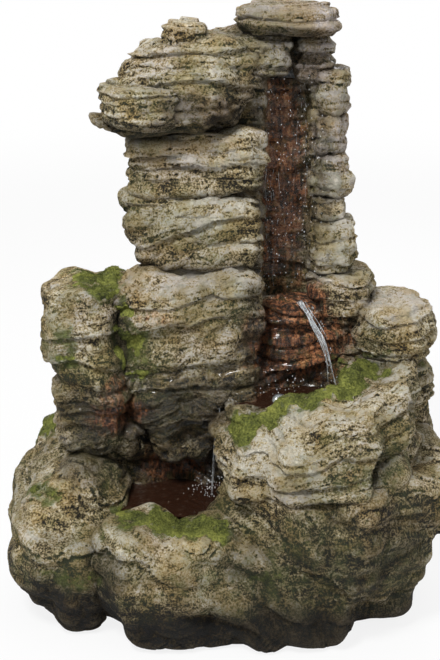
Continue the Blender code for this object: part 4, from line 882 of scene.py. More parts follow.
PALE = (
    Patch((-0.085, -0.055, 0.715), (0.130, 0.070, 0.040), 1.5),
    Patch((-0.080, -0.066, 0.600), (0.110, 0.060, 0.070), 0.7),
    Patch((0.090, -0.270, 0.390), (0.120, 0.080, 0.070), 1.1),
    Patch((0.170, -0.180, 0.470), (0.120, 0.080, 0.030), 0.9),
    Patch((-0.250, -0.090, 1.080), (0.070, 0.060, 0.030), 0.4),
    Patch((-0.060, -0.050, 1.130), (0.140, 0.060, 0.040), 0.8),
    Patch((-0.060, -0.030, 0.965), (0.150, 0.050, 0.050), 1.0),
    Patch((-0.060, -0.035, 0.845), (0.150, 0.050, 0.045), 0.9),
    Patch((-0.060, -0.035, 0.770), (0.150, 0.050, 0.030), 0.5),
    Patch((0.130, -0.010, 1.230), (0.110, 0.080, 0.030), 1.1),
    Patch((0.150, -0.005, 1.160), (0.110, 0.080, 0.040), 1.0),
    Patch((0.360, 0.020, 0.640), (0.090, 0.110, 0.050), 1.0),
    Patch((-0.330, -0.100, 0.620), (0.060, 0.060, 0.090), 0.7),
    Patch((-0.150, -0.290, 0.180), (0.100, 0.090, 0.070), 1.4),
    Patch((-0.060, -0.300, 0.150), (0.090, 0.080, 0.060), 0.9),
    Patch((0.112, 0.110, 1.050), (0.036, 0.040, 0.050), 1.3),
    Patch((0.112, 0.110, 0.920), (0.036, 0.040, 0.065), 1.3),
    Patch((0.125, 0.110, 0.790), (0.030, 0.040, 0.060), 1.2),
    Patch((0.225, 0.030, 0.900), (0.060, 0.050, 0.240), 1.1),
    Patch((0.178, 0.030, 1.130), (0.060, 0.050, 0.050), 1.1),
    Patch((-0.020, -0.300, 0.210), (0.120, 0.080, 0.040), 1.0),
    Patch((-0.390, -0.150, 0.230), (0.060, 0.090, 0.060), 0.7),
)

GREEN = (
    Patch((0.290, -0.240, 0.390), (0.110, 0.110, 0.070), 1.0),
    Patch((0.080, -0.300, 0.180), (0.100, 0.070, 0.080), 0.9),
    Patch((-0.130, -0.060, 0.470), (0.080, 0.060, 0.080), 0.8),
    Patch((-0.350, -0.090, 0.560), (0.050, 0.070, 0.100), 0.8),
    Patch((0.200, 0.020, 0.950), (0.050, 0.060, 0.200), 0.6),
    Patch((-0.330, -0.220, 0.150), (0.120, 0.070, 0.060), 0.7),
    Patch((0.320, -0.280, 0.180), (0.140, 0.080, 0.080), 0.7),
    Patch((0.120, -0.320, 0.180), (0.240, 0.080, 0.140), 0.8),
    Patch((-0.240, -0.095, 1.090), (0.050, 0.050, 0.040), 0.5),
)


COOL = (
    Patch((0.120, 0.040, 1.230), (0.170, 0.180, 0.060), 0.6),
    Patch((0.178, 0.060, 1.140), (0.070, 0.090, 0.060), 0.7),
    Patch((0.225, 0.060, 1.000), (0.060, 0.090, 0.120), 0.6),
    Patch((-0.080, -0.040, 1.060), (0.120, 0.080, 0.040), 0.6),
)

DARK = (
    Patch((-0.060, -0.050, 0.430), (0.170, 0.090, 0.100), 0.45),
    Patch((0.055, -0.050, 0.600), (0.030, 0.070, 0.100), 0.7),
    Patch((-0.290, -0.095, 0.430), (0.090, 0.060, 0.080), 0.7),
    Patch((-0.200, -0.040, 0.420), (0.080, 0.080, 0.050), 0.8),
    Patch((-0.235, -0.285, 0.175), (0.045, 0.060, 0.050), 0.7),
    Patch((-0.350, -0.200, 0.215), (0.060, 0.060, 0.020), 0.5),
    Patch((0.010, -0.300, 0.300), (0.060, 0.060, 0.070), 0.45),
    Patch((0.300, -0.280, 0.230), (0.170, 0.090, 0.090), 0.7),
    Patch((0.090, -0.300, 0.200), (0.120, 0.080, 0.080), 0.4),
    Patch((-0.215, -0.100, 0.600), (0.022, 0.080, 0.130), 0.6),
    Patch((-0.040, -0.060, 1.060), (0.110, 0.090, 0.028), 0.7),
    Patch((0.020, -0.060, 1.075), (0.070, 0.090, 0.045), 0.7),
    Patch((0.066, 0.030, 0.860), (0.016, 0.060, 0.260), 0.6),
    Patch((0.330, 0.030, 0.480), (0.070, 0.090, 0.050), 0.5),
    Patch((-0.330, -0.130, 0.340), (0.090, 0.070, 0.030), 0.4),
    Patch((-0.020, -0.030, 0.300), (0.180, 0.100, 0.080), 0.6),
)

LIFT = (
    Patch((0.165, -0.150, 0.480), (0.075, 0.040, 0.060), 1.0),
    Patch((0.235, -0.080, 0.500), (0.050, 0.060, 0.060), 1.0),
)


class PatchField:
    """How strongly a set of patches reaches each point, with ragged edges."""

    def __init__(self, patches: tuple[Patch, ...], seed: int, ragged: float = 0.35) -> None:
        """Keeps the patches and the noise for their edges."""
        self.patches = patches
        self.noise = Noise(seed)
        self.ragged = ragged

    def at(self, points: np.ndarray) -> np.ndarray:
        """Returns 0 outside all patches to 1 well inside one, for each point."""
        edge = self.ragged * (0.7 * self.noise.layered(points * 30.0, 3)
                              + 0.4 * self.noise.value(points * 150.0))
        best = np.zeros(len(points))
        for patch in self.patches:
            away = np.linalg.norm((points - patch.at) / patch.reach, axis=1)
            best = np.maximum(best, patch.strength * smooth_step(1.3 - away + edge, 0.0, 0.7))
        return np.clip(best, 0.0, 1.0)


class StoneCarver:
    """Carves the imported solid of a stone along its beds."""

    def __init__(self, nodes: dict[str, bpy.types.Object]) -> None:
        """Keeps the solids, and a search tree of them all for finding sheltered places."""
        self.nodes = nodes
        points: list[Vector] = []
        faces: list[list[int]] = []
        for node in nodes.values():
            first = len(points)
            points += [v.co.copy() for v in node.data.vertices]
            faces += [[first + corner for corner in p.vertices] for p in node.data.polygons]
        self.everything = BVHTree.FromPolygons(points, faces)
        self.reach = np.abs(np.array([tuple(point) for point in points])).max(axis=0)
        self.moss = PatchField(MOSS, 5, 0.55)
        self.rust = PatchField(RUST, 6)
        self.wet = PatchField(WET, 7, 0.5)
        self.pale = PatchField(PALE, 8, 0.45)
        self.green = PatchField(GREEN, 9, 0.45)
        self.cool = PatchField(COOL, 12, 0.45)
        self.dark = PatchField(DARK, 10, 0.45)
        self.lift = PatchField(LIFT, 11, 0.08)

    def remeshed(self, name: str, voxel: float) -> bpy.types.Mesh:
        """Returns an even mesh over the solid of a node.

        Args:
            name: the node.
            voxel: the size of its faces in metres.

        Returns:
            The mesh.
        """
        source = self.nodes[name].data.copy()
        work = bmesh.new()
        work.from_mesh(source)
        bmesh.ops.remove_doubles(work, verts=work.verts, dist=1e-6)
        work.to_mesh(source)
        work.free()
        holder = bpy.data.objects.new("holder", source)
        bpy.context.scene.collection.objects.link(holder)
        modifier = holder.modifiers.new("voxel", "REMESH")
        modifier.mode = "VOXEL"
        modifier.voxel_size = voxel
        modifier.use_smooth_shade = True
        ready = holder.evaluated_get(bpy.context.evaluated_depsgraph_get())
        mesh = bpy.data.meshes.new_from_object(ready)
        bpy.data.objects.remove(holder)
        mesh.name = f"{name}_carved"
        for attribute in [a for a in mesh.attributes if not a.is_internal and not a.is_required]:
            mesh.attributes.remove(attribute)
        return mesh

    def shelter(self, points: np.ndarray, normals: np.ndarray) -> tuple[np.ndarray, np.ndarray]:
        """Finds how shut in each point is.

        Args:
            points: places on the surface.
            normals: the way that the surface faces there.

        Returns:
            The share of ways out that are blocked near by, and the share blocked at any distance.
        """
        ways = [Vector(way).normalized() for way in (
            (0, 0, 1), (0.8, 0, 0.5), (-0.8, 0, 0.5), (0, 0.8, 0.5), (0, -0.8, 0.5), (0.6, -0.6, 0.1),
            (-0.6, -0.6, 0.1), (0.6, 0.6, 0.1), (-0.6, 0.6, 0.1))]
        near = np.zeros(len(points))
        far = np.zeros(len(points))
        cast = self.everything.ray_cast
        for index, (point, normal) in enumerate(zip(points, normals)):
            start = Vector(point + normal * 0.006)
            face = Vector(normal)
            weight = 0.0
            blocked = 0.0
            shut = 0
            for way in ways:
                hit = cast(start, way, 1.5)
                if hit[0] is not None:
                    shut += 1
                share = max(0.15, face.dot(way))
                weight += share
                if hit[0] is not None and hit[3] < 0.18:
                    blocked += share * (1.0 - hit[3] / 0.18)
            near[index] = blocked / weight
            far[index] = shut / len(ways)
        return near, far

    def carve(self, name: str, bedding: Bedding, seed: int) -> bpy.types.Mesh:
        """Carves one stone.

        Args:
            name: its node.
            bedding: how it is split.
            seed: where its noise starts.

        Returns:
            The carved mesh with the values that its finish reads.
        """
        mesh = self.remeshed(name, bedding.voxel)
        ring = Neighbours(mesh)
        points = mesh_points(mesh)
        step = 1
        near, far = self.sheltered(points, mesh_points(mesh, "normal"), step)
        near, far = ring.mean(near, 4), ring.mean(far, 3)
        outside = 1.0 - smooth_step(far, 0.90, 1.0)
        softened = ring.mean(points, bedding.rounding)
        points = points + (softened - points) * outside[:, None]
        set_points(mesh, points)
        normals = ring.mean(mesh_points(mesh, "normal"), 5)
        normals /= np.linalg.norm(normals, axis=1)[:, None] + 1e-9
        moved, relief, tone = self.split(points, normals, bedding, seed, outside)
        moved[:, 2] += 0.016 * self.lift.at(points) * smooth_step(normals[:, 2], -0.2, 0.6)
        moved = self.held_in(moved)
        set_points(mesh, moved)
        mesh.shade_smooth()
        up = smooth_step(ring.mean(mesh_points(mesh, "normal"), 1)[:, 2], 0.25, 0.85)
        ground = 1.0 - smooth_step(moved[:, 2] + 0.04 * Noise(seed + 40).layered(moved * 9.0), 0.02, 0.20)
        moss = self.moss.at(moved) * (0.55 + 0.45 * smooth_step(normals[:, 2], -0.3, 0.4))
        set_values(mesh, "relief", np.clip(ring.mean(relief, 1), 0.0, 1.0))
        set_values(mesh, "tone", tone)
        set_values(mesh, "top", up * (1.0 - 0.6 * near))
        under = smooth_step(-normals[:, 2], 0.15, 0.8)
        worn = 0.6 * self.bulge(moved, ring, 2) + 0.6 * self.bulge(moved, ring, 12)
        set_values(mesh, "edge", np.clip(worn, -1.0, 1.0))
        set_values(mesh, "shade", np.clip(
            0.95 * ground + 0.75 * near + 0.40 * under + 0.7 * self.dark.at(moved), 0.0, 1.0))
        set_values(mesh, "pale", self.pale.at(moved))
        set_values(mesh, "green", self.green.at(moved))
        set_values(mesh, "cool", self.cool.at(moved))
        set_values(mesh, "moss", moss * outside)
        set_values(mesh, "rust", self.rust.at(moved))
        set_values(mesh, "wet", self.wet.at(moved))
        return mesh

    def held_in(self, points: np.ndarray) -> np.ndarray:
        """Eases points that stand out past the solids' outermost faces, or under the floor, back inside."""
        held = points.copy()
        for axis, half in ((0, self.reach[0]), (1, self.reach[1])):
            over = np.abs(held[:, axis]) - (half - 0.010)
            eased = half - 0.010 + 0.013 * np.tanh(np.maximum(over, 0.0) / 0.013)
            held[:, axis] = np.where(over > 0.0, np.sign(held[:, axis]) * eased, held[:, axis])
        low = np.maximum(0.014 - held[:, 2], 0.0)
        held[:, 2] = np.where(low > 0.0, 0.014 - 0.011 * np.tanh(low / 0.011), held[:, 2])
        return held

    @staticmethod
    def bulge(points: np.ndarray, ring: Neighbours, times: int) -> np.ndarray:
        """Returns how far each point stands out of its surroundings, where 1 is much and -1 is a deep cleft."""
        away = points - ring.mean(points, times)
        outward = ring.mean(points, 2) - ring.mean(points, 30)
        outward /= np.linalg.norm(outward, axis=1)[:, None] + 1e-9
        out = (away * outward).sum(axis=1)
        return out / (2.2 * np.std(out) + 1e-9)

    def sheltered(self, points: np.ndarray, normals: np.ndarray, step: int) -> tuple[np.ndarray, np.ndarray]:
        """Finds shelter at every step-th point, and takes the last one found for those between."""
        near, far = self.shelter(points[::step], normals[::step])
        return np.repeat(near, step)[:len(points)], np.repeat(far, step)[:len(points)]

    @staticmethod
    def split(points: np.ndarray, normals: np.ndarray, bedding: Bedding, seed: int,
              outside: np.ndarray) -> tuple[np.ndarray, np.ndarray, np.ndarray]:
        """Works out how far each point stands back from the solid's skin.

        Args:
            points: places on the skin.
            normals: the way that it faces.
            bedding: how the stone is split.
            seed: where its noise starts.
            outside: 1 on the stone's outside and 0 on the inside of a hollow.

        Returns:
            The moved points, how deep each lies from 0 to 1, and the tone of its bed from -1 to 1.
        """
        noise = [Noise(seed * 31 + k) for k in range(8)]
        wobble = bedding.wobble * noise[0].layered(points * 5.0, 3) + 0.002 * noise[1].layered(points * 30.0, 2)
        level = points[:, 2] + points[:, :2] @ np.array(bedding.dip) + wobble
        flat = np.zeros((len(points), 3))
        flat[:, 0] = level / bedding.thickness * 0.45 + seed
        count = level / bedding.thickness + 0.75 * noise[2].value(flat)
        bed = np.floor(count)
        part = count - bed
        along = np.column_stack((points[:, 0] * 12.0 + bed * 3.17,
                                 points[:, 1] * 12.0 - bed * 5.71, bed * 1.93))
        back = 0.5 + 0.5 * noise[3].layered(along, 2)
        chip = np.floor(3.0 * (0.5 + 0.5 * noise[4].value(along * 2.6))) / 3.0
        edge = np.minimum(part, 1.0 - part)
        groove = np.exp(-(edge / 0.13) ** 2) * np.clip(0.6 + 0.6 * noise[5].layered(along * 1.3, 2), 0.1, 1.0)
        crack = np.exp(-(noise[6].layered(points * (7.0, 7.0, 3.0), 2) / 0.035) ** 2)
        crack *= smooth_step(noise[5].value(points * 6.0), 0.0, 0.5)
        joint = np.abs(noise[1].layered(points * (13.0, 13.0, 1.5) + bed[:, None] * 0.9, 1))
        crack = np.maximum(crack, 0.9 * np.exp(-(joint / 0.05) ** 2))
        inset = bedding.depth * (0.62 * np.clip(back, 0.0, 1.0) + 0.38 * chip - 0.45) + bedding.groove * groove
        inset = inset + 0.004 * crack
        count = level / bedding.shelf + 0.40 * noise[6].layered(points * 6.0, 2) + 0.37 * seed
        row = np.floor(count)
        along = np.column_stack((points[:, 0] * 5.5 + row * 4.7, points[:, 1] * 5.5 - row * 2.3, row * 1.7))
        stand = np.clip(0.5 + 0.75 * noise[2].layered(along, 2), 0.0, 1.0)
        stand += 0.5 * smooth_step(count - row, 0.55, 1.0) - 0.25
        inset = inset + bedding.shelf_depth * (1.4 * stand - 0.7)
        side = np.sqrt(np.clip(1.0 - normals[:, 2] ** 2, 0.0, 1.0))
        flank = normals * (1.0, 1.0, 0.25)
        flank /= np.linalg.norm(flank, axis=1)[:, None] + 1e-9
        lump = bedding.lump * (0.1 + noise[7].layered(points * bedding.lumps, 3))
        for turn, (way, spacing, height) in enumerate(bedding.folds):
            place = points @ np.array(way) / spacing + 0.5 * noise[turn].layered(points * 4.5, 2)
            lump = lump + height * (0.5 - np.abs(2.0 * (place - np.floor(place)) - 1.0) ** 0.8)
        lump = lump - bedding.swell
        moved = points - flank * (inset * side * outside)[:, None] - normals * (lump * outside)[:, None]
        terrace = bedding.terrace * bedding.thickness * part * smooth_step(normals[:, 2], 0.35, 0.95)
        moved[:, 2] -= terrace * outside
        deepest = bedding.depth + bedding.groove + bedding.shelf_depth
        relief = (0.40 + inset / deepest) * side + 0.45 * part * (1.0 - side)
        tone = noise[4].value(np.column_stack((bed * 0.73 + seed, points[:, 0] * 3.0, points[:, 1] * 3.0)))
        return moved, relief, np.clip(tone + bedding.tone, -1.0, 1.0)


@dataclass
class StoneStack:
    """Every stone of the waterfall, carved and dressed."""

    carver: StoneCarver
    finish: bpy.types.Material
    ground: bpy.types.Material
    common: Bedding = Bedding()
    special: dict[str, Bedding] = field(default_factory=lambda: {
        "base_rock": Bedding(thickness=0.034, depth=0.006, lump=0.008, lumps=9.0, voxel=0.0052, wobble=0.060,
                             dip=(0.25, 0.10), terrace=0.2, rounding=3, groove=0.002, tone=-0.1, swell=0.008,
                             shelf=0.090, shelf_depth=0.007,
                             folds=(((0.75, 0.20, 0.85), 0.150, 0.020), ((-0.80, 0.50, 0.55), 0.190, 0.016),
                                    ((0.35, -0.30, 1.20), 0.062, 0.006))),
        "tower_core": Bedding(thickness=0.020, voxel=0.006, depth=0.010, lump=0.006, tone=-0.2),
        "upper_basin_rock": Bedding(thickness=0.011, depth=0.007, shelf=0.044, shelf_depth=0.010, lump=0.006,
                                    lumps=16.0, dip=(-0.10, 0.02), wobble=0.034, tone=0.15,
                                    folds=(((0.5, -0.4, 1.0), 0.085, 0.012),)),
        "centre_boulder": Bedding(thickness=0.012, depth=0.007, shelf=0.052, shelf_depth=0.011,
                                  dip=(-0.12, 0.03), wobble=0.050, lump=0.006, lumps=16.0,
                                  folds=(((0.9, 0.3, 0.5), 0.120, 0.016), ((-0.6, 0.1, 0.9), 0.085, 0.010))),
        "cap_slab": Bedding(thickness=0.012, depth=0.009, shelf=0.038, shelf_depth=0.013, dip=(0.02, 0.02),
                            wobble=0.034, tone=0.1, lump=0.007, lumps=16.0, swell=0.008,
                            folds=(((0.6, 0.2, 1.0), 0.070, 0.012),)),
        "cap_pebble": Bedding(thickness=0.014, depth=0.004, shelf_depth=0.004, lump=0.004, rounding=4),
        "cap_shelf_stone": Bedding(thickness=0.012, depth=0.011, dip=(0.02, 0.0), tone=0.15),
        "column_stone_upper": Bedding(thickness=0.011, depth=0.008, shelf=0.036, shelf_depth=0.010,
                                      dip=(-0.03, 0.02), wobble=0.026, swell=0.008,
                                      folds=(((0.5, 0.3, 1.0), 0.060, 0.008),)),
        "column_stone_lower": Bedding(thickness=0.011, depth=0.008, shelf=0.040, shelf_depth=0.010,
                                      dip=(-0.04, 0.02), wobble=0.030, swell=0.005,
                                      folds=(((-0.5, 0.3, 1.0), 0.066, 0.009),)),
        "top_slab": Bedding(thickness=0.010, depth=0.008, shelf=0.026, shelf_depth=0.010, dip=(0.0, 0.02)),
        "right_shoulder_rock": Bedding(thickness=0.018, depth=0.009, lump=0.008, lumps=16.0, dip=(-0.08, 0.0),
                                       tone=0.2),
        "left_ledge_rock": Bedding(thickness=0.013, depth=0.008, shelf=0.056, shelf_depth=0.014, lump=0.006,
                                   wobble=0.034, folds=(((0.9, 0.2, 0.4), 0.090, 0.012),)),
        "splash_wall": Bedding(thickness=0.020, depth=0.008, lump=0.008, lumps=18.0, wobble=0.03),
    })

    def bedding_of(self, name: str) -> Bedding:
        """Returns how a node is bedded."""
        if name.startswith("pier_stone"):
            return Bedding(thickness=0.012, depth=0.007, swell=0.003, rounding=1, lump=0.005, lumps=26.0,
                           shelf=0.046, shelf_depth=0.008, wobble=0.020,
                           folds=(((1.0, 0.3, 0.3), 0.042, 0.007),))
        return self.special.get(name, self.common)

    def build(self, bodies: dict[str, list[str]]) -> list[bpy.types.Object]:
        """Carves each stone and puts it over its node.

        Args:
            bodies: the record's bodies and the nodes of each.

        Returns:
            The stones, as pieces.
        """
        body_of = {node: body for body, nodes in bodies.items() for node in nodes}
        names = [name for name in sorted(self.carver.nodes) if name in STONE_NODES]
        pieces = []
        for number, name in enumerate(names):
            mesh = self.carver.carve(name, self.bedding_of(name), 3 + number)
            finish = self.ground if name == "base_rock" else self.finish
            piece = new_object(f"{name}_dressed", mesh, finish, body_of[name])
            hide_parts(name)
            pieces.append(piece)
            log.info("stone %s: %d faces", name, len(mesh.polygons))
        return pieces


STONE_NODES = frozenset({
    "base_rock", "tower_core", "centre_boulder", "column_stone_lower", "column_stone_upper", "cap_slab",
    "cap_shelf_stone", "cap_pebble", "upper_basin_rock", "splash_wall", "spill_ledge", "pier_stone_1",
    "pier_stone_2", "pier_stone_3", "pier_stone_4", "pier_stone_5", "left_ledge_rock", "pier_foot_stone",
    "flank_rock", "right_shoulder_rock", "rear_right_rock", "rear_left_rock", "bridge_stone", "neck_stone",
    "rear_coping_stone", "top_slab"})


# ---------------------------------------------------------------- moss


@dataclass
class MossCover:
    """Cushions of moss over the mossy places of a stone, with short blades standing out of them."""

    finish: bpy.types.Material
    height: float = 0.0045
    blade: float = 0.0040
    blades_per_area: float = 420000.0
    edge: float = 0.46
    seed: int = 17

    def grow(self, stone: bpy.types.Object, name: str, body: str) -> bpy.types.Object | None:
        """Grows moss on one stone.

        Args:
            stone: the dressed stone.
            name: the new piece's name.
            body: the body that it rides on.

        Returns:
            The moss, or nothing where the stone has none.
        """
        mesh = stone.data
        moss = np.zeros(len(mesh.vertices), np.float32)
        mesh.attributes["moss"].data.foreach_get("value", moss)
        points, normals = mesh_points(mesh), mesh_points(mesh, "normal")
        ring = Neighbours(mesh)
        thick = ring.mean(np.where(moss > self.edge, moss - self.edge, 0.0), 2) / (1.0 - self.edge)
        noise = Noise(self.seed)
        swell = 0.55 + 0.45 * noise.layered(points * 55.0, 3)
        lift = self.height * np.clip(thick * 1.6, 0.0, 1.0) * swell - 0.0012
        chosen = [tuple(p.vertices) for p in mesh.polygons if min(thick[v] for v in p.vertices) > 0.02]
        if len(chosen) < 12:
            return None
        shapes = Shapes()
        used = sorted({v for face in chosen for v in face})
        number = {v: k for k, v in enumerate(used)}
        raised = points[used] + normals[used] * lift[used][:, None]
        shapes.add(raised, [tuple(number[v] for v in face) for face in chosen])
        self.blades(shapes, raised, normals[used], [[number[v] for v in face] for face in chosen], thick[used])
        piece = new_object(name, shapes.mesh(name), self.finish, body)
        log.info("moss %s: %d faces", name, len(shapes.faces))
        return piece

    def blades(self, shapes: Shapes, points: np.ndarray, normals: np.ndarray, faces: list[list[int]],
               thick: np.ndarray) -> None:
        """Adds short blades over the cushion.

        Args:
            shapes: where they go.
            points: the cushion's points.
            normals: the way that it faces.
            faces: its faces.
            thick: how thick the moss is at each point, from 0 to 1.
        """
        random = np.random.default_rng(self.seed)
        for face in faces:
            corner = points[face]
            area = 0.5 * np.linalg.norm(np.cross(corner[1] - corner[0], corner[-1] - corner[0])) * 2.0
            depth = float(thick[face].mean())
            for _ in range(random.poisson(area * self.blades_per_area * min(1.0, 0.3 + depth) * 0.4)):
                share = random.dirichlet(np.ones(len(face)))
                root = share @ corner
                lean = normals[face[0]] + random.normal(0.0, 0.45, 3) + (0.0, 0.0, 0.35)
                lean /= np.linalg.norm(lean)
                wide = np.cross(lean, random.normal(0.0, 1.0, 3))
                wide *= 0.00075 / (np.linalg.norm(wide) + 1e-9)
                tall = self.blade * random.uniform(0.5, 1.0) * (0.45 + 0.55 * depth)
                blade = np.array((root - wide, root + wide, root + lean * tall))
                shapes.add(blade, [(0, 1, 2)])


# ---------------------------------------------------------------- water


@dataclass
class Pool:
    """The water that stands in a bowl of stone, its edge fitted to the walls round it."""

    name: str
    centre: tuple[float, float]
    level: float
    reach: float
    source: tuple[float, float]
    ripple: float = 0.0012
    rings: int = 26
    spokes: int = 84
    inside: float = 0.007

    def build(self, walls: BVHTree, finish: bpy.types.Material) -> bpy.types.Object:
        """Makes the water's surface.

        Args:
            walls: a search tree of the stones.
            finish: the water's material.

        Returns:
            The pool, as a piece.
        """
        noise = Noise(len(self.name))
        middle = Vector((*self.centre, self.level))
        reach = []
        for spoke in range(self.spokes):
            turn = math.tau * spoke / self.spokes
            hit = walls.ray_cast(middle, Vector((math.cos(turn), math.sin(turn), 0.0)), self.reach)
            reach.append((hit[3] if hit[0] is not None else self.reach - self.inside) + self.inside)
        points = [np.array((*self.centre, self.level))]
        for ring in range(1, self.rings + 1):
            for spoke in range(self.spokes):
                turn = math.tau * spoke / self.spokes
                out = reach[spoke] * ring / self.rings
                points.append(np.array((self.centre[0] + out * math.cos(turn),
                                        self.centre[1] + out * math.sin(turn), self.level)))
        places = np.array(points)
        away = np.linalg.norm(places[:, :2] - self.source, axis=1)
        places[:, 2] += self.ripple * np.sin(away * 420.0) * np.exp(-away * 14.0)
        places[:, 2] += 0.7 * self.ripple * noise.layered(places * 45.0, 3)
        faces: list[tuple[int, ...]] = [(0, 1 + k, 1 + (k + 1) % self.spokes) for k in range(self.spokes)]
        for ring in range(self.rings - 1):
            first = 1 + ring * self.spokes
            for spoke in range(self.spokes):
                follow = (spoke + 1) % self.spokes
                faces.append((first + spoke, first + self.spokes + spoke, first + self.spokes + follow,
                              first + follow))
        return new_object(self.name, mesh_from(self.name, places, faces), finish, "rockwork")


@dataclass
class RunningWater:
    """The water from the head down to the lower pool: strands, drops and broken water."""

    stream: bpy.types.Material
    foam: bpy.types.Material
    channel_x: tuple[float, float] = (0.080, 0.170)
    channel_back: float = 0.1085
    channel_z: tuple[float, float] = (0.655, 1.100)
    seed: int = 29

    def strand(self, shapes: Shapes, points: list[Point], radius: float, taper: float, wander: float,
               random: np.random.Generator) -> None:
        """Adds a strand of water through a few points.

        Args:
            shapes: where it goes.
            points: the places that it passes.
            radius: its radius at the start.
            taper: the share of the radius that is left at its end.
            wander: how far it strays, in metres.
            random: where its wandering comes from.
        """
        knots = np.array(points)
        places = np.linspace(0.0, len(points) - 1.0, 12 * (len(points) - 1))
        path = np.column_stack([np.interp(places, np.arange(len(points)), knots[:, k]) for k in range(3)])
        for _ in range(3):
            path[1:-1] = (path[:-2] + 2.0 * path[1:-1] + path[2:]) / 4.0
        phase = random.uniform(0.0, math.tau, 2)
        path[:, 0] += wander * np.sin(places * 3.1 + phase[0])
        path[:, 1] += 0.5 * wander * np.sin(places * 4.3 + phase[1])
        radii = radius * (1.0 - (1.0 - taper) * places / places[-1])
        radii *= 1.0 + 0.35 * np.sin(places * 7.0 + phase[1])
        shapes.tube(path, radii, 6, 0.6)

    def build(self) -> list[bpy.types.Object]:
        """Makes the running water.

        Returns:
            Its pieces.
        """
        return [self.channel(), self.spill(), self.overflow(), self.head(), self.spray()]

    def channel(self) -> bpy.types.Object:
        """Makes the rivulets that run down the channel's back."""
        random = np.random.default_rng(self.seed)
        shapes = Shapes()
        low, high = self.channel_z
        for _ in range(8):
            x = random.uniform(*self.channel_x)
            top = random.uniform(low + 0.15, high)
            foot = max(low, top - random.uniform(0.08, 0.30))
            points = [(x + random.normal(0.0, 0.003), self.channel_back, z)
                      for z in np.linspace(top, foot, 6)]
            self.strand(shapes, points, random.uniform(0.0004, 0.0007), 0.5, 0.0015, random)
        return new_object("channel_rivulets", shapes.mesh("channel_rivulets"), self.stream, "rockwork")

    def spill(self) -> bpy.types.Object:
        """Makes the stream that slides off the spill ledge into the upper pool."""
        random = np.random.default_rng(self.seed + 1)
        shapes = Shapes()
        for _ in range(11):
            side = random.normal(0.0, 1.0)
            path = [(0.154 + 0.006 * side, -0.012 + random.normal(0.0, 0.004), 0.657),
                    (0.176 + 0.006 * side, -0.036 + random.normal(0.0, 0.004), 0.630),
                    (0.200 + 0.006 * side, -0.050 + random.normal(0.0, 0.005), 0.585),
                    (0.218 + 0.007 * side, -0.056 + random.normal(0.0, 0.006), 0.530),
                    (0.230 + 0.010 * side, -0.058 + random.normal(0.0, 0.008), 0.464)]
            first = random.integers(0, 2)
            last = random.integers(first + 2, 6)
            self.strand(shapes, path[first:last], random.uniform(0.0010, 0.0022), 0.35, 0.0018, random)
        for _ in range(70):
            share = random.uniform(0.1, 1.0)
            at = np.array((0.165 + 0.068 * share, -0.020 - 0.040 * share ** 0.6, 0.655 - 0.190 * share ** 1.4))
            shapes.drop(at + random.normal(0.0, 0.006, 3), random.uniform(0.0006, 0.0015), 1.6)
        return new_object("spill_stream", shapes.mesh("spill_stream"), self.stream, "rockwork")

    def overflow(self) -> bpy.types.Object:
        """Makes the thread of water from the upper pool's notch down into the lower pool."""
        random = np.random.default_rng(self.seed + 2)
        shapes = Shapes()
        for _ in range(4):
            side = random.normal(0.0, 0.005)
            points = [(0.010, -0.075 + side, 0.462), (-0.012, -0.073 + side, 0.452),
                      (-0.022, -0.072 + side, 0.380), (-0.030, -0.070 + side, 0.240)]
            self.strand(shapes, points, random.uniform(0.0006, 0.0012), 0.5, 0.002, random)
        return new_object("overflow_thread", shapes.mesh("overflow_thread"), self.stream, "rockwork")

    def head(self) -> bpy.types.Object:
        """Makes the water that bubbles over the sill under the top slab."""
        random = np.random.default_rng(self.seed + 3)
        noise = Noise(self.seed)
        rows, spokes = 9, 20
        points = []
        for row in range(rows + 1):
            share = row / rows
            for spoke in range(spokes):
                turn = math.tau * spoke / spokes
                points.append((0.125 + 0.043 * share * math.cos(turn), 0.120 + 0.030 * share * math.sin(turn),
                               1.104 + 0.020 * math.cos(share * math.pi / 2)))
        places = np.array(points)
        places[:, 2] += 0.004 * noise.layered(places * 90.0, 3)
        faces: list[tuple[int, ...]] = [tuple(range(spokes))]
        faces += [(row * spokes + k, (row + 1) * spokes + k, (row + 1) * spokes + (k + 1) % spokes,
                   row * spokes + (k + 1) % spokes) for row in range(rows) for k in range(spokes)]
        shapes = Shapes()
        shapes.add(places, faces)
        for _ in range(34):
            at = np.array((0.125 + random.normal(0.0, 0.018), 0.098 + random.normal(0.0, 0.014),
                           1.118 + abs(random.normal(0.0, 0.014))))
            shapes.drop(at, random.uniform(0.0008, 0.0019), 1.0)
        return new_object("head_bubbling", shapes.mesh("head_bubbling"), self.foam, "rockwork")

    def spray(self) -> bpy.types.Object:
        """Makes the flying drops and the plume where water lands."""
        random = np.random.default_rng(self.seed + 4)
        shapes = Shapes()
        for _ in range(420):
            at = np.array((random.uniform(0.060, 0.200), random.uniform(0.020, 0.104),
                           random.uniform(0.60, 1.12)))
            shapes.drop(at, random.uniform(0.0004, 0.0011), 1.6)
        for centre, spread, count in (((0.230, -0.058, 0.470), 0.018, 60), ((-0.035, -0.065, 0.250), 0.026, 90),
                                      ((0.120, -0.060, 0.470), 0.030, 26), ((0.005, -0.075, 0.455), 0.012, 12)):
            for _ in range(count):
                out = random.normal(0.0, spread, 2)
                rise = abs(random.normal(0.0, 0.6 * spread))
                at = np.array((centre[0] + out[0], centre[1] + 0.7 * out[1], centre[2] + rise))
                shapes.drop(at, random.uniform(0.0006, 0.0017), 1.2)
        return new_object("flying_drops", shapes.mesh("flying_drops"), self.foam, "rockwork")


# ---------------------------------------------------------------- fittings


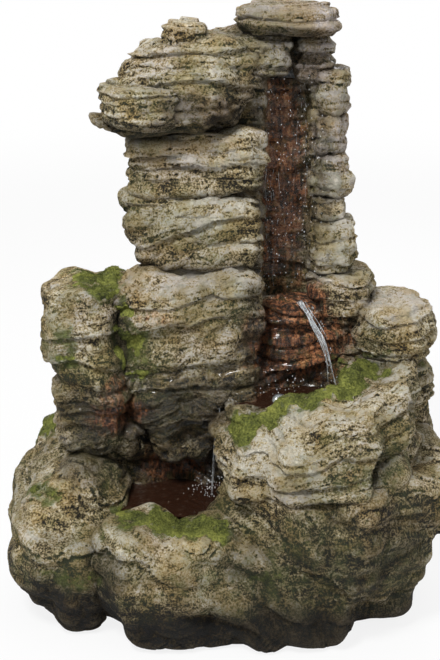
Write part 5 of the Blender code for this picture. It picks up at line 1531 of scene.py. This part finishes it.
@dataclass
class Fittings:
    """The pump set, the tub, the hatch and the lamps, which keep the solids' own shapes."""

    finishes: dict[str, FittingFinish] = field(default_factory=lambda: {finish.make.value: finish for finish in (
        FittingFinish(Make.BLACK_PLASTIC, srgb(34, 35, 37), srgb(66, 66, 66), 0.46),
        FittingFinish(Make.GREY_PLASTIC, srgb(92, 92, 88), srgb(128, 126, 118), 0.52),
        FittingFinish(Make.RUBBER, srgb(26, 26, 27), srgb(54, 53, 52), 0.72),
        FittingFinish(Make.STEEL, srgb(178, 180, 182), srgb(120, 116, 108), 0.28, metal=1.0, lime=0.12),
        FittingFinish(Make.CERAMIC, srgb(226, 223, 214), srgb(196, 190, 176), 0.25, lime=0.1),
        FittingFinish(Make.FOAM, srgb(40, 44, 50), srgb(78, 80, 76), 0.95),
        FittingFinish(Make.LENS, srgb(226, 232, 234), srgb(200, 208, 206), 0.08, lime=0.15))})

    def dress(self, nodes: dict[str, bpy.types.Object]) -> int:
        """Gives each carried-over node the finish of its material slot.

        Args:
            nodes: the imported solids.

        Returns:
            How many nodes were dressed.
        """
        made = {name: finish.material() for name, finish in self.finishes.items()}
        count = 0
        for name, node in nodes.items():
            if name in STONE_NODES:
                continue
            slot = self.slot_of(node)
            node.data.materials.clear()
            node.data.materials.append(made[slot])
            count += 1
        return count

    def slot_of(self, node: bpy.types.Object) -> str:
        """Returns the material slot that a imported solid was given."""
        for material in node.data.materials:
            for slot in self.finishes:
                if material is not None and slot in material.name:
                    return slot
        return Make.BLACK_PLASTIC.value


# ---------------------------------------------------------------- studio


@dataclass
class Studio:
    """The floor, the soft light and the camera of the photograph."""

    eye: Point = (-0.0125, -2.49, 1.40)
    tilt: float = 72.0
    lens: float = 67.85
    sky: float = 0.44
    key: float = 135.0
    floor_size: float = 60.0

    def build(self) -> None:
        """Makes the floor, the lights, the sky and the camera."""
        self.floor()
        self.lamp("key", (-1.2, -2.2, 3.8), 0.9, self.key)
        self.lamp("fill", (2.6, -1.8, 2.0), 2.6, 0.16 * self.key)
        self.lamp("back", (0.6, 2.8, 2.8), 2.2, 0.36 * self.key)
        self.sky_dome()
        self.camera()
        bpy.context.scene.view_settings.view_transform = "Standard"

    def floor(self) -> None:
        """Makes the pale floor, which keeps the shadow and is white to the camera."""
        half = self.floor_size / 2
        points = np.array([(-half, -half, 0.0), (half, -half, 0.0), (half, half, 0.0), (-half, half, 0.0)])
        mesh = mesh_from("floor", points, [(0, 1, 2, 3)])
        material, graph, shader = new_material("pale_floor")
        plug(graph, shader, Base_Color=srgb(240, 240, 240), Roughness=0.9, Specular_IOR_Level=0.0)
        glow = graph.node("ShaderNodeEmission", {"Color": (1.0, 1.0, 1.0, 1.0), "Strength": 1.0})
        seen = graph.node("ShaderNodeLightPath").outputs["Is Camera Ray"]
        away = graph.node("ShaderNodeVectorMath", {0: graph.place()}, operation="LENGTH").outputs["Value"]
        share = graph.math("MULTIPLY", seen, graph.span(away, 1.8, 7.0, 0.85, 1.0))
        mixed = graph.node("ShaderNodeMixShader", {0: share, 1: shader.outputs[0], 2: glow.outputs[0]})
        output = next(n for n in material.node_tree.nodes if n.type == "OUTPUT_MATERIAL")
        graph.tree.links.new(mixed.outputs[0], output.inputs["Surface"])
        mesh.materials.append(material)
        floor = bpy.data.objects.new("floor", mesh)
        bpy.context.scene.collection.objects.link(floor)

    def lamp(self, name: str, at: Point, size: float, power: float) -> None:
        """Adds a soft lamp that points at the middle of the waterfall."""
        light = bpy.data.lights.new(name, "AREA")
        light.size = size
        light.energy = power
        made = bpy.data.objects.new(name, light)
        bpy.context.scene.collection.objects.link(made)
        made.location = at
        made.rotation_euler = (Vector((0.0, 0.0, 0.6)) - Vector(at)).to_track_quat("-Z", "Y").to_euler()

    def sky_dome(self) -> None:
        """Makes the white surroundings, a little dimmer as light than as background."""
        world = bpy.data.worlds.new("surroundings")
        world.use_nodes = True
        bpy.context.scene.world = world
        graph = Graph(world.node_tree)
        background = world.node_tree.nodes["Background"]
        background.inputs["Color"].default_value = (1.0, 1.0, 1.0, 1.0)
        path = graph.node("ShaderNodeLightPath")
        shown = graph.math("MAXIMUM", path.outputs["Is Camera Ray"], path.outputs["Is Transmission Ray"])
        strength = graph.node("ShaderNodeMapRange", {"Value": shown, "To Min": self.sky, "To Max": 1.0})
        graph.tree.links.new(strength.outputs["Result"], background.inputs["Strength"])

    def camera(self) -> None:
        """Makes the camera at the photograph's place and angle."""
        data = bpy.data.cameras.new("camera")
        data.sensor_fit = "VERTICAL"
        data.sensor_height = 36.0
        data.lens = self.lens
        camera = bpy.data.objects.new("camera", data)
        bpy.context.scene.collection.objects.link(camera)
        camera.location = self.eye
        camera.rotation_euler = (math.radians(self.tilt), 0.0, 0.0)
        bpy.context.scene.camera = camera


def main() -> None:
    """Builds the waterfall's looks piece by piece."""
    logging.basicConfig(level=logging.INFO, format="%(name)s: %(message)s")
    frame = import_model()
    Groups.make_all()
    Studio().build()
    log.info("studio ready")
    count = Fittings().dress(frame["nodes"])
    log.info("fittings: %d nodes", count)
    bodies = frame["record"]["behaviour"]["bodies"]
    carver = StoneCarver({n: frame["nodes"][n] for n in frame["nodes"] if n in STONE_NODES})
    ground = StoneFinish("ground_rock", bed_share=0.14, mottle_share=0.42, grain_share=0.50, base_tone=-0.24)
    stones = StoneStack(carver, StoneFinish().material(), ground.material()).build(bodies)
    moss = MossCover(MossFinish().material())
    for stone in stones:
        moss.grow(stone, f"moss_on_{stone.name.removesuffix('_dressed')}", stone["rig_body"])
    still = WaterFinish("pool_water", srgb(64, 40, 28), srgb(150, 128, 110), 0.10, 0.45, 0.9).material()
    running = WaterFinish("running_water", srgb(214, 222, 226), srgb(245, 248, 250), 0.55, 0.75, 0.4).material()
    broken = WaterFinish("broken_water", srgb(226, 232, 236), srgb(250, 252, 253), 0.6, 0.55, 0.4).material()
    for pool in (Pool("lower_pool_water", (-0.085, -0.060), 0.238, 0.150, (-0.035, -0.065)),
                 Pool("upper_pool_water", (0.150, -0.070), 0.461, 0.135, (0.230, -0.058))):
        pool.build(carver.everything, still)
        log.info("pool %s", pool.name)
    for piece in RunningWater(running, broken).build():
        log.info("water %s: %d faces", piece.name, len(piece.data.polygons))


if __name__ == "__main__":
    main()
